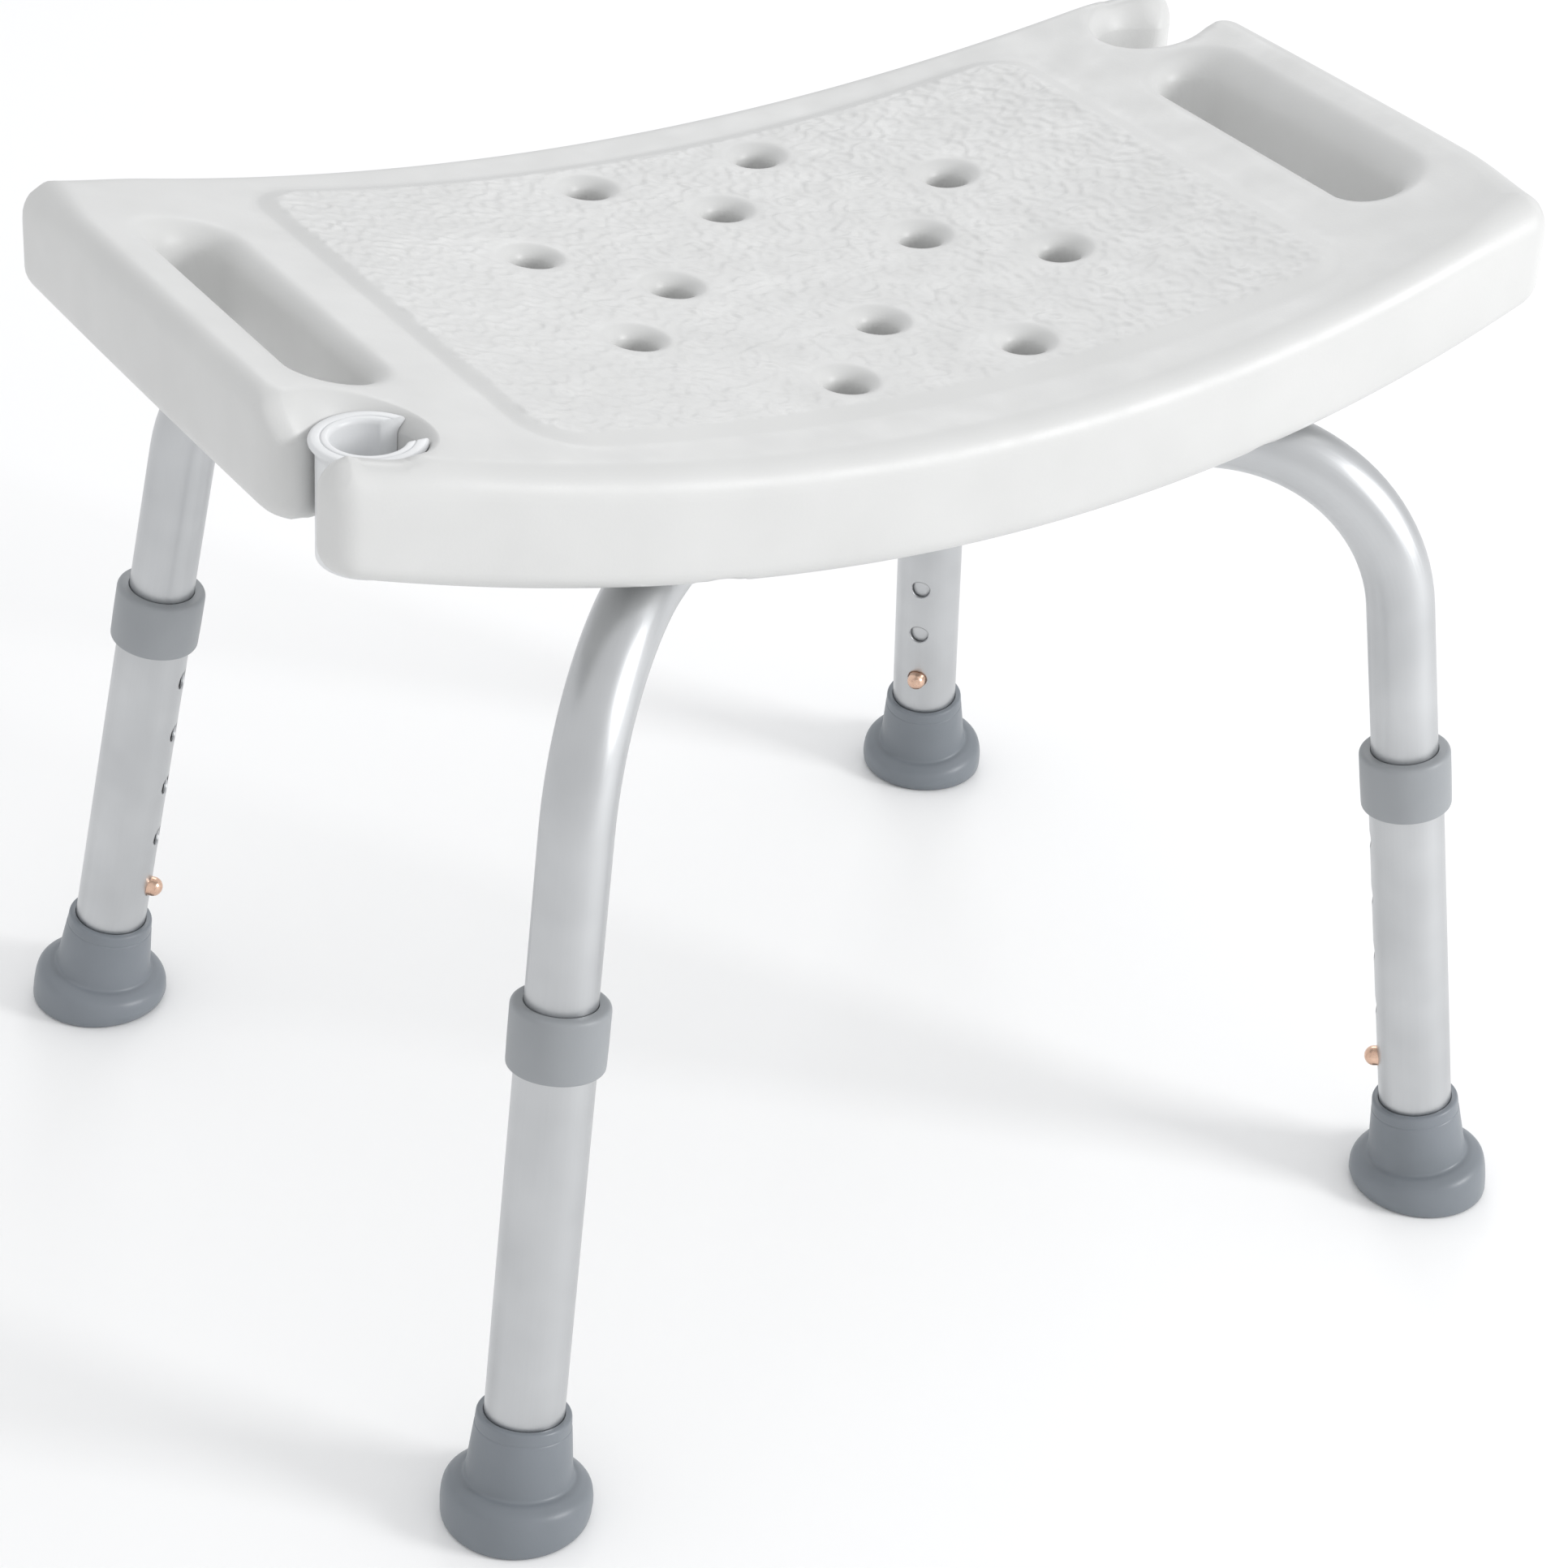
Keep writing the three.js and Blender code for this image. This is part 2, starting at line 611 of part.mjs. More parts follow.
// The block between the crossed tubes, with a saddle above and one below.
function crossSpacer() {
  const high = FRAME_TUBE.runZ;
  const low = high - DIP.depth;
  let body = solid(rod(SPACER.radius, low + SPACER.wing, high - SPACER.wing, 24));
  for (const [height, turn] of [[high, LEG_PLAN_ANGLE], [low, -LEG_PLAN_ANGLE]]) {
    const tube = rod(FRAME_TUBE.radius + GAP, -40, 40, 24).rotateY(Math.PI / 2);
    body = body.subtract(solid(tube.rotateZ(turn).translate(0, 0, height)));
  }
  return body.subtract(solid(rod(SCREW.hole, low, high)));
}

function seatInsert() {
  const { outer, bore, low, high } = INSERT;
  const profile = [[bore, low], [outer, low], [outer, high], [bore, high], [bore, low]];
  return solid(turned(profile, 12));
}

// Its slot faces the seat's middle, so the sleeve's wall closes the notch until it is turned.
function holderSleeve() {
  const { outer, bore, flange, bottomZ, topZ, slot } = SLEEVE;
  const ring = solid(turned([
    [bore, bottomZ],
    [outer - 1, bottomZ],
    [outer, bottomZ + 1],
    [outer, topZ - SLEEVE_FLANGE_DEPTH],
    [flange, topZ - 1],
    [flange - 0.8, topZ],
    [bore + 1, topZ],
    [bore, topZ - 1.4],
    [bore, bottomZ],
  ], 28));
  const cut = new THREE.BoxGeometry(outer * 2, slot, 80).translate(outer, 0, topZ - 20);
  return ring.subtract(solid(cut));
}

// ---- Assembly ----
const LEGS = [
  { name: "back_right", angle: LEG_PLAN_ANGLE, letter: "a", side: 1 },
  { name: "front_left", angle: Math.PI + LEG_PLAN_ANGLE, letter: "a", side: -1 },
  { name: "front_right", angle: -LEG_PLAN_ANGLE, letter: "b", side: 1 },
  { name: "back_left", angle: Math.PI - LEG_PLAN_ANGLE, letter: "b", side: -1 },
];
const group = new THREE.Group();

group.add(meshOf("seat_shell", whitePlastic, seatShell()));
const insert = seatInsert();
insertCentres().forEach(([x, y], i) => {
  const name = i === 0 ? "seat_insert_centre" : `seat_insert_${LEGS[i - 1].name}`;
  const mesh = meshOf(name, brass, insert);
  mesh.position.set(x, y, 0);
  group.add(mesh);
});

const sleeve = meshOf("holder_sleeve", whitePlastic, holderSleeve());
sleeve.position.set(-NOTCH.x, -NOTCH.y, 0);
group.add(sleeve);

const planes = {};
for (const [letter, turn, dip] of [["a", LEG_PLAN_ANGLE, 0], ["b", -LEG_PLAN_ANGLE, DIP.depth]]) {
  planes[letter] = new THREE.Group();
  planes[letter].rotation.z = turn;
  planes[letter].add(meshOf(`frame_tube_${letter}`, aluminium, frameTube(dip)));
  group.add(planes[letter]);
}

group.add(meshOf("cross_spacer", greyPlastic, crossSpacer()));
const lowTubeZ = FRAME_TUBE.runZ - DIP.depth;
planes.b.add(meshOf("cross_saddle", greyPlastic, saddle(lowTubeZ)));
planes.b.add(meshOf("cross_bolt", steel, screw(lowTubeZ - FRAME_TUBE.radius)));

const shared = {
  saddle: saddle(FRAME_TUBE.runZ),
  screw: screw(FRAME_TUBE.runZ - FRAME_TUBE.radius),
  tube: legTube(),
  collar: legCollar(),
  foot: legFoot(),
  disc: footDisc(),
  button: snapButton(),
  clip: buttonClip(),
};
for (const { name, letter, side } of LEGS) {
  const half = new THREE.Group();
  half.rotation.z = side > 0 ? 0 : Math.PI;
  planes[letter].add(half);
  for (const [label, look, body] of [
    ["seat_saddle", greyPlastic, shared.saddle],
    ["seat_screw", steel, shared.screw],
  ]) {
    const mesh = meshOf(`${label}_${name}`, look, body);
    mesh.position.x = SCREW.reach;
    half.add(mesh);
  }
  const leg = new THREE.Group();
  leg.position.x = FOOT_RADIUS;
  leg.rotation.y = -LEG_LEAN;
  half.add(leg);
  leg.add(meshOf(`leg_tube_${name}`, aluminium, shared.tube));
  leg.add(meshOf(`leg_collar_${name}`, greyPlastic, shared.collar));
  leg.add(meshOf(`leg_foot_${name}`, greyRubber, shared.foot));
  leg.add(meshOf(`foot_disc_${name}`, steel, shared.disc));
  leg.add(meshOf(`snap_button_${name}`, brass, shared.button));
  leg.add(meshOf(`button_clip_${name}`, steel, shared.clip));
}

export default group;
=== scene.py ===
"""The looks of a height-adjustable shower stool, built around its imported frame.

Shapes are worked out in millimetres in the frame's own axes and turned into metres when a mesh is made.
"""

import math

import bmesh
import bpy
import numpy as np
from mathutils import Matrix, Vector
from mathutils.geometry import delaunay_2d_cdt


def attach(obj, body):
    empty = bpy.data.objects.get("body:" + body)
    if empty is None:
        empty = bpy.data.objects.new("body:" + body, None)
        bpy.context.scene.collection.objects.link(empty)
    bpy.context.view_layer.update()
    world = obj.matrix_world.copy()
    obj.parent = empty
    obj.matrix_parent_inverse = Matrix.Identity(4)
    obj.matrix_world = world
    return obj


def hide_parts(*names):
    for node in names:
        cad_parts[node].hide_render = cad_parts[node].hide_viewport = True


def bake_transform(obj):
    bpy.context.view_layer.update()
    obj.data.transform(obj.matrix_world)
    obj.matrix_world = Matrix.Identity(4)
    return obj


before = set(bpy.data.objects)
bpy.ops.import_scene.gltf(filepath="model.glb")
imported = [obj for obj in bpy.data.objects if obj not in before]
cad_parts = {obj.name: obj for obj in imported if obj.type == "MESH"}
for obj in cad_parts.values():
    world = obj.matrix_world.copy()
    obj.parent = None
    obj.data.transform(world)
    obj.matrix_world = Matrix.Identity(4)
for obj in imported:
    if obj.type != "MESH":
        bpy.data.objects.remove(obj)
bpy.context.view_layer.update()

MM = 0.001

# ---- Driving dimensions, in millimetres ----
SEAT = {"half_length": 250.5, "half_depth": 125, "corner": 10, "side_bulge": 17.5, "end_bulge": 1.2}
SEAT_TOP = 365.0
SEAT_CURVE = 0.00057
SEAT_THICKNESS = 44.0
RIM_ROUND = 11.0
CORNER_EXTRA = 7.0
CORNER_REACH = 50.0
UNDER_ROUND = 8.0
NOSE_ROUND = 13.0

PANEL = {"half_length": 170, "half_depth": 114, "corner": 22, "side_bulge": 2, "end_bulge": 0}
PANEL_SHOULDER = 8.0
PANEL_RISE = 2.2
PANEL_RAMP = {"straight": 0.7, "smooth": 0.3}
RELIEF = 0.52
GRAIN_OVERLAP = 2.0
GRAIN_FADE = 3.0
# Each ring of drain holes: how many, at what radius, and turned by what share of a step.
DRAIN_RINGS = ((8, 97.5, 0.5), (4, 53.2, 0))
DRAIN_RADIUS = 7.2
# The lips are (width, depth) of a rounded edge.
DRAIN_LIP = (6.6, 6.4)
DRAIN_UNDER = 1.5
DRAIN_CLEAR = 3.0

SLOT = {"x": 210.5, "y": -10.5, "half_length": 65.5, "half_width": 12.5, "corner": 12.0}
SLOT_LIP = (10.5, 11.0)
SLOT_UNDER = 8.0
NOTCH = {"x": 222.0, "y": 94.0, "pocket": 17.4, "throat": 11.0, "blend": 5.0, "ledge": 382.0}
NOTCH_LIP = {"near": 22, "fade": 16, "slant": 0.75, "least": 2.0, "power": 1.3}
ARCH = {"x": 116.0, "half_width": 12.5, "height": 2.8, "inner_y": 120.7, "fade": 3, "sunk": 4}

TUBE_ANGLE = math.radians(41.17)
LEAN = math.radians(9.24)
FOOT_REACH = 275.0
FRAME_TUBE = {"radius": 12.7, "wall": 1.5, "run_z": 320.0, "bend": 72.0, "low_end": 42.0}
CHANNEL_RADIUS = 13.3
DIP = {"depth": 30.0, "inner": 15.0, "outer": 95.0}
LEG_TUBE = {"radius": 14.3, "wall": 1.3, "low": 8.7, "high": 197.5}
HOLE_RADIUS = 4.4
HOLE_PITCH = 25.4
HOLE_COUNT = 5
BUTTON_HEIGHT = 60.3
COLLAR = {"low": 177, "middle": 188, "shelf": 198, "high": 201, "bore": 14.45, "lip_bore": 12.85,
          "low_outer": 17.2, "outer": 17.35}
FOOT = {"grooves": (7, 12, 17, 22), "groove_depth": 1.2, "groove_top": 1.6, "groove_floor": 1.1,
        "bore": 14.45, "bore_floor": 6.5, "neck": 17.2, "top": 41.2, "level_from": 2, "level_fade": 7}
BUTTON = {"stem": 4, "flange": 5.4, "flange_edge": 5.2, "low": 7.6, "high": 9.2, "dome_z": 15.6,
          "dome": 3.8, "tip": 19.4}
CLIP = {"half_width": 4, "half_thickness": 0.4, "still_x": 5.5, "moved_x": -6.5}
SCREW_REACH = 115.0
SCREW_HOLE = 3.4
SCREW = {"head": 5.5, "head_height": 3.2, "below_tube": 3.1, "socket": 2.3, "socket_depth": 1.9,
         "hex_flat": 0.87, "shank": 2.9, "root": 2.55, "pitch": 1.25, "thread_low": 334,
         "thread_high": 345.6, "top": 347}
SADDLE = {"bore": 3.4, "below_tube": 2.8, "steps": (9, 7.6, 6.2, 4.8, 3.4)}
SPACER = {"radii": (3.4, 5.8, 8.2, 10.4, 12.0, 12.7), "waist": 13, "least": 7}
TUBE_FIT = 0.3
SLEEVE = {"outer": 17.0, "bore": 12.3, "flange": 19.6, "low": 345.0, "high": 388.0, "slot": 8.5}
SLEEVE_AXIS = (-NOTCH["x"], -NOTCH["y"])
# A closed profile starts and ends on a straight side, this far apart.
SEAM = 0.1

LEG_ANGLES = {
    "back_right": TUBE_ANGLE,
    "front_left": TUBE_ANGLE + math.pi,
    "front_right": -TUBE_ANGLE,
    "back_left": math.pi - TUBE_ANGLE,
}


# ---- Materials ----
# The part of a noise texture's range that its values mostly fall in.
NOISE_SPAN = (0.3, 0.7)


def principled(name, color, roughness, metallic=0.0):
    """A new material and its Principled shader."""
    material = bpy.data.materials.new(name)
    material.use_nodes = True
    nodes = material.node_tree.nodes
    shader = nodes["Principled BSDF"]
    shader.inputs["Base Color"].default_value = (*color, 1)
    shader.inputs["Roughness"].default_value = roughness
    shader.inputs["Metallic"].default_value = metallic
    return material, shader


def noise(material, scale, detail, stretch=(1, 1, 1), coordinates="Object"):
    """A noise texture over the piece's own coordinates, which move with it."""
    nodes, links = material.node_tree.nodes, material.node_tree.links
    where = nodes.new("ShaderNodeTexCoord")
    mapping = nodes.new("ShaderNodeMapping")
    mapping.inputs["Scale"].default_value = stretch
    texture = nodes.new("ShaderNodeTexNoise")
    texture.inputs["Scale"].default_value = scale
    texture.inputs["Detail"].default_value = detail
    links.new(where.outputs[coordinates], mapping.inputs["Vector"])
    links.new(mapping.outputs["Vector"], texture.inputs["Vector"])
    return texture.outputs["Fac"]


def vary_color(material, shader, fac, dark, light):
    """A base color between two, by a noise."""
    nodes, links = material.node_tree.nodes, material.node_tree.links
    ramp = nodes.new("ShaderNodeValToRGB")
    ramp.color_ramp.elements[0].position = NOISE_SPAN[0]
    ramp.color_ramp.elements[0].color = (*dark, 1)
    ramp.color_ramp.elements[1].position = NOISE_SPAN[1]
    ramp.color_ramp.elements[1].color = (*light, 1)
    links.new(fac, ramp.inputs["Fac"])
    links.new(ramp.outputs["Color"], shader.inputs["Base Color"])


def vary_roughness(material, shader, fac, smoothest, roughest):
    """A roughness between two, by a noise."""
    nodes, links = material.node_tree.nodes, material.node_tree.links
    spread = nodes.new("ShaderNodeMapRange")
    spread.inputs["From Min"].default_value = NOISE_SPAN[0]
    spread.inputs["From Max"].default_value = NOISE_SPAN[1]
    spread.inputs["To Min"].default_value = smoothest
    spread.inputs["To Max"].default_value = roughest
    links.new(fac, spread.inputs["Value"])
    links.new(spread.outputs["Result"], shader.inputs["Roughness"])


def add_bump(material, shader, fac, height):
    """Bumps of the given height in metres."""
    nodes, links = material.node_tree.nodes, material.node_tree.links
    bump = nodes.new("ShaderNodeBump")
    bump.inputs["Distance"].default_value = height
    links.new(fac, bump.inputs["Height"])
    links.new(bump.outputs["Normal"], shader.inputs["Normal"])


def moulded_plastic(name, dark, light, roughness, grain=900, height=0.00003):
    """Moulded plastic: faint cloudiness, uneven gloss and a fine tool-surface grain."""
    material, shader = principled(name, light, roughness)
    vary_color(material, shader, noise(material, 22, 3), dark, light)
    vary_roughness(material, shader, noise(material, 60, 4), roughness - 0.05, roughness + 0.07)
    add_bump(material, shader, noise(material, grain, 2), height)
    return material


def anodised_aluminium():
    """Satin tube with faint extrusion lines along it, drawn on the unrolled surface."""
    material, shader = principled("anodised_aluminium", (0.74, 0.75, 0.765), 0.3, 1.0)
    lines = noise(material, 1, 4, (2600, 9, 1), "UV")
    clouds = noise(material, 30, 2)
    vary_color(material, shader, clouds, (0.52, 0.53, 0.54), (0.58, 0.59, 0.60))
    vary_roughness(material, shader, lines, 0.30, 0.42)
    add_bump(material, shader, lines, 0.000006)
    return material


def bare_metal(name, dark, light, roughness):
    """Metal with uneven color and gloss and a very fine grain."""
    material, shader = principled(name, light, roughness, 1.0)
    vary_color(material, shader, noise(material, 260, 3), dark, light)
    vary_roughness(material, shader, noise(material, 420, 3), roughness, roughness + 0.14)
    add_bump(material, shader, noise(material, 1500, 2), 0.000008)
    return material


MATERIALS = {
    "seat_white": moulded_plastic("seat_plastic", (0.605, 0.607, 0.60), (0.64, 0.642, 0.635), 0.42),
    "holder_white": moulded_plastic("holder_plastic", (0.72, 0.73, 0.74), (0.75, 0.76, 0.77), 0.32),
    "frame_aluminium": anodised_aluminium(),
    "collar_grey": moulded_plastic("collar_plastic", (0.275, 0.29, 0.305), (0.31, 0.325, 0.34), 0.45),
    "foot_rubber": moulded_plastic("foot_rubber", (0.17, 0.19, 0.21), (0.205, 0.225, 0.25), 0.38),
    "button_brass": bare_metal("button_copper", (0.66, 0.43, 0.32), (0.80, 0.56, 0.43), 0.18),
    "insert_brass": bare_metal("insert_brass", (0.60, 0.45, 0.20), (0.74, 0.57, 0.28), 0.28),
    "fastener_steel": bare_metal("fastener_steel", (0.50, 0.51, 0.52), (0.62, 0.63, 0.64), 0.25),
}


# ---- Making pieces ----
def piece(name, vertices, faces, body, slot, nodes, uv=None):
    """A smooth piece from vertices in millimetres that stands for CAD nodes on a body."""
    mesh = bpy.data.meshes.new(name)
    mesh.from_pydata((np.asarray(vertices, float) * MM).tolist(), [], faces)
    if uv is not None:
        corners = np.empty(len(mesh.loops), np.int32)
        mesh.loops.foreach_get("vertex_index", corners)
        layer = mesh.uv_layers.new(name="unrolled")
        layer.data.foreach_set("uv", (uv[corners] * MM).astype(np.float32).ravel())
    work = bmesh.new()
    work.from_mesh(mesh)
    bmesh.ops.remove_doubles(work, verts=work.verts, dist=1e-6)
    bmesh.ops.recalc_face_normals(work, faces=work.faces)
    work.to_mesh(mesh)
    work.free()
    mesh.shade_smooth()
    obj = bpy.data.objects.new(name, mesh)
    bpy.context.scene.collection.objects.link(obj)
    mesh.materials.append(MATERIALS[slot])
    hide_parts(*nodes)
    if body:
        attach(obj, body)
    return obj


def placed(vertices, matrix):
    """Points moved by a matrix whose lengths are millimetres."""
    points = np.asarray(vertices, float)
    turn = np.array(matrix)
    return points @ turn[:3, :3].T + turn[:3, 3]


def leg_place(angle):
    """From a leg's own axes, +Z up the leg and +X outwards, into the frame."""
    out = Matrix.Rotation(angle, 4, "Z") @ Matrix.Translation((FOOT_REACH, 0, 0))
    return out @ Matrix.Rotation(-LEAN, 4, "Y")


def rounded(profile, radii, steps=5):
    """An open profile of (radius, height) points with the corners between its ends rounded."""
    points = [np.array(point, float) for point in profile]
    out = [points[0]]
    for before, corner, after, radius in zip(points, points[1:], points[2:], radii):
        back, ahead = before - corner, after - corner
        reach = min(radius, 0.48 * np.linalg.norm(back), 0.48 * np.linalg.norm(ahead))
        start = corner + back / np.linalg.norm(back) * reach
        end = corner + ahead / np.linalg.norm(ahead) * reach
        for t in np.linspace(0, 1, steps + 1):
            out.append((1 - t) ** 2 * start + 2 * t * (1 - t) * corner + t * t * end)
    out.append(points[-1])
    return out


def lathe(profile, segments=64, warp=None):
    """A profile turned about Z. warp(x, y, z) gives each point's height. A profile with no end on the
    axis is joined up with itself."""
    vertices, rings, faces = [], [], []
    angles = np.linspace(0, 2 * math.pi, segments, endpoint=False)
    for radius, height in profile:
        count = 1 if radius < 1e-6 else segments
        rings.append(list(range(len(vertices), len(vertices) + count)))
        for angle in angles[:count]:
            x, y = radius * math.cos(angle), radius * math.sin(angle)
            vertices.append((x, y, warp(x, y, height) if warp else height))
    closed = len(rings[0]) > 1 and len(rings[-1]) > 1
    for a, b in zip(rings, rings[1:] + (rings[:1] if closed else [])):
        for i in range(segments):
            j = (i + 1) % segments
            corners = [a[i % len(a)], a[j % len(a)], b[j % len(b)], b[i % len(b)]]
            unique = list(dict.fromkeys(corners))
            if len(unique) > 2:
                faces.append(unique)
    return vertices, faces


def triangulate(loops, points, keep):
    """Triangles over closed loops and free points, as an array of indices into both in that order.
    keep(centres) says which triangles belong to the sheet."""
    coordinates = np.concatenate([*loops, points])
    edges, start = [], 0
    for loop in loops:
        count = len(loop)
        edges += [(start + i, start + (i + 1) % count) for i in range(count)]
        start += count
    result = delaunay_2d_cdt([Vector(c) for c in coordinates], edges, [], 0, 1e-7)
    origin = np.array([sources[0] for sources in result[3]])
    triangles = origin[np.array(result[2])]
    return triangles[keep(coordinates[triangles].mean(axis=1))]


def wall_between(loop_a, loop_b, vertices, rows):
    """Quads that join two loops of vertex indices with straight rows in between."""
    a = np.array([vertices[i] for i in loop_a])
    b = np.array([vertices[i] for i in loop_b])
    rings = [list(loop_a)]
    for row in range(1, rows):
        start = len(vertices)
        vertices.extend(a + (b - a) * row / rows)
        rings.append(list(range(start, start + len(a))))
    rings.append(list(loop_b))
    faces = []
    for low, high in zip(rings, rings[1:]):
        for i in range(len(low)):
            j = (i + 1) % len(low)
            faces.append((low[i], low[j], high[j], high[i]))
    return faces


# ---- The seat's plan as distances, negative inside, over arrays of x and y ----
def length_of(a, b):
    return np.sqrt(a * a + b * b)


def both(d1, d2, radius):
    """The part inside both shapes, with the corners between them rounded."""
    u, v = d1 + radius, d2 + radius
    outside = length_of(np.maximum(u, 0), np.maximum(v, 0))
    return outside + np.minimum(np.maximum(u, v), 0) - radius


def either(d1, d2, blend):
    """The part inside at least one shape, with the corners between them filled."""
    share = np.clip(0.5 + 0.5 * (d2 - d1) / blend, 0, 1)
    return d2 * (1 - share) + d1 * share - blend * share * (1 - share)


def plate(x, y, size):
    """A plate whose sides are parabolas that stand out by a bulge at their middle."""
    def side(across, along, half, other_half, bulge):
        edge = half + bulge * (1 - (along / other_half) ** 2)
        slope = 2 * bulge * along / other_half**2
        return (np.abs(across) - edge) / np.sqrt(1 + slope * slope)

    length, depth = size["half_length"], size["half_depth"]
    sides = side(y, x, depth, length, size["side_bulge"])
    ends = side(x, y, length, depth, size["end_bulge"])
    return both(sides, ends, size["corner"])


def notch(x, y):
    """The back right notch: a round pocket with a throat that opens through the seat's end."""
    dx, dy = x - NOTCH["x"], y - NOTCH["y"]
    pocket = length_of(dx, dy) - NOTCH["pocket"]
    throat = np.maximum(np.abs(dy) - NOTCH["throat"], -dx)
    return either(pocket, throat, NOTCH["blend"])


def panel(x, y):
    return plate(x, y, PANEL)


def rim(x, y):
    """The seat's outline, with both notches cut out of it."""
    return both(both(plate(x, y, SEAT), -notch(x, y), NOSE_ROUND), -notch(-x, -y), NOSE_ROUND)


def slot(x, y):
    """The right hand slot."""
    u = np.abs(x - SLOT["x"]) - SLOT["half_width"] + SLOT["corner"]
    v = np.abs(y - SLOT["y"]) - SLOT["half_length"] + SLOT["corner"]
    return length_of(np.maximum(u, 0), np.maximum(v, 0)) + np.minimum(np.maximum(u, v), 0) - SLOT["corner"]


def slots(x, y):
    return np.minimum(slot(x, y), slot(-x, -y))


def drain_centres():
    """The middles of the drain holes, ring by ring."""
    centres = []
    for count, radius, offset in DRAIN_RINGS:
        for i in range(count):
            angle = 2 * math.pi * (i + offset) / count
            centres.append((radius * math.cos(angle), radius * math.sin(angle)))
    return centres


DRAINS = drain_centres()


def drains(x, y):
    return np.min([length_of(x - cx, y - cy) for cx, cy in DRAINS], axis=0) - DRAIN_RADIUS


def on_seat(x, y):
    """Distance to the edge of the seat's plan, openings included."""
    return np.maximum(rim(x, y), np.maximum(-slots(x, y), -drains(x, y)))


# ---- The seat's heights ----
def smooth(t):
    t = np.clip(t, 0, 1)
    return t * t * (3 - 2 * t)


def seat_top(x):
    return SEAT_TOP + SEAT_CURVE * x * x


def lip(inside, width, depth, power=2.0):
    """How far a rounded edge has dropped, at a distance inside it."""
    rest = np.clip(1 - inside / width, 0, 1) ** power
    return depth * (1 - np.maximum(1 - rest, 0) ** (1 / power))


def rim_lip(x, y):
    """Width, depth and power of the rim's edge. It is fuller at the seat's corners, and becomes an
    open chamfer round the pockets."""
    away = np.minimum(
        length_of(x - NOTCH["x"], y - NOTCH["y"]), length_of(x + NOTCH["x"], y + NOTCH["y"])
    )
    plain = smooth((away - NOTCH_LIP["near"]) / NOTCH_LIP["fade"])
    to_corner = length_of(np.abs(x) - SEAT["half_length"], np.abs(y) - SEAT["half_depth"])
    edge = RIM_ROUND + CORNER_EXTRA * smooth(1 - to_corner / CORNER_REACH)
    pocket_depth = seat_top(x) - NOTCH["ledge"]
    depth = pocket_depth + (edge - pocket_depth) * plain
    pocket_width = NOTCH_LIP["slant"] * pocket_depth
    width = pocket_width + (edge - pocket_width) * plain
    least, power = NOTCH_LIP["least"], NOTCH_LIP["power"]
    return np.maximum(width, least), np.maximum(depth, least), power + (2 - power) * plain


FIELD_SPACING = 0.8
FIELD_COUNT = 512
GRAIN_SEED = 7
GRAIN_WAVES = {"winding": 11.0, "crossing": 7.5, "breaks": 15.0, "ground": 5.5}
GRAIN_BAND = 0.32
RIDGE = {"width": 0.42, "share": 0.75}
SIDE_RIDGE = {"width": 0.36, "share": 0.35, "height": 0.8}
GROUND_HEIGHT = 0.12


def wave_field(rng, wavelength):
    """Smooth random waves of about one wavelength, on a square grid, with a spread of one."""
    spectrum = np.fft.fft2(rng.standard_normal((FIELD_COUNT, FIELD_COUNT)))
    across = np.fft.fftfreq(FIELD_COUNT, FIELD_SPACING)
    pitch = length_of(across[:, None], across[None, :]) * wavelength
    field = np.fft.ifft2(spectrum * np.exp(-(((pitch - 1) / GRAIN_BAND) ** 2))).real
    return field / field.std()


def emboss():
    """The panel's wormy grain: thin winding ridges, broken here and there, on a slightly uneven ground."""
    rng = np.random.default_rng(GRAIN_SEED)
    winding = wave_field(rng, GRAIN_WAVES["winding"])
    crossing = wave_field(rng, GRAIN_WAVES["crossing"])
    breaks = wave_field(rng, GRAIN_WAVES["breaks"])
    ground = wave_field(rng, GRAIN_WAVES["ground"])
    ridges = np.exp(-((winding / RIDGE["width"]) ** 2)) * smooth(RIDGE["share"] + breaks)
    side_ridges = np.exp(-((crossing / SIDE_RIDGE["width"]) ** 2)) * smooth(SIDE_RIDGE["share"] - breaks)
    return np.maximum(ridges, SIDE_RIDGE["height"] * side_ridges) + GROUND_HEIGHT * ground


GRAIN = emboss()


def grain_at(x, y):
    """The grain's height at points, read between its grid points."""
    u = x / FIELD_SPACING + FIELD_COUNT / 2
    v = y / FIELD_SPACING + FIELD_COUNT / 2
    i = np.clip(np.floor(u).astype(int), 0, FIELD_COUNT - 2)
    j = np.clip(np.floor(v).astype(int), 0, FIELD_COUNT - 2)
    s, t = u - i, v - j
    low = GRAIN[i, j] * (1 - s) + GRAIN[i + 1, j] * s
    high = GRAIN[i, j + 1] * (1 - s) + GRAIN[i + 1, j + 1] * s
    return low * (1 - t) + high * t


def top_height(x, y):
    on_panel = -panel(x, y)
    near_drain = drains(x, y)
    grain = smooth((on_panel - PANEL_SHOULDER + GRAIN_OVERLAP) / GRAIN_FADE)
    grain = grain * smooth((near_drain - DRAIN_LIP[0]) / DRAIN_CLEAR)
    width, depth, power = rim_lip(x, y)
    ramp = np.clip(on_panel / PANEL_SHOULDER, 0, 1)
    height = seat_top(x) + PANEL_RISE * (PANEL_RAMP["straight"] * ramp + PANEL_RAMP["smooth"] * smooth(ramp))
    height = height + RELIEF * grain * grain_at(x, y)
    height = height - lip(-rim(x, y), width, depth, power)
    height = height - lip(slots(x, y), *SLOT_LIP)
    return height - lip(near_drain, *DRAIN_LIP)


# A height below everything, for places that a shape does not reach.
NOWHERE = -1e3


def bend_start():
    """Distance from the stool's centre line where a frame tube starts to bend down."""
    corner = FOOT_REACH - FRAME_TUBE["run_z"] * math.tan(LEAN)
    return corner - FRAME_TUBE["bend"] * math.tan((math.pi / 2 - LEAN) / 2)


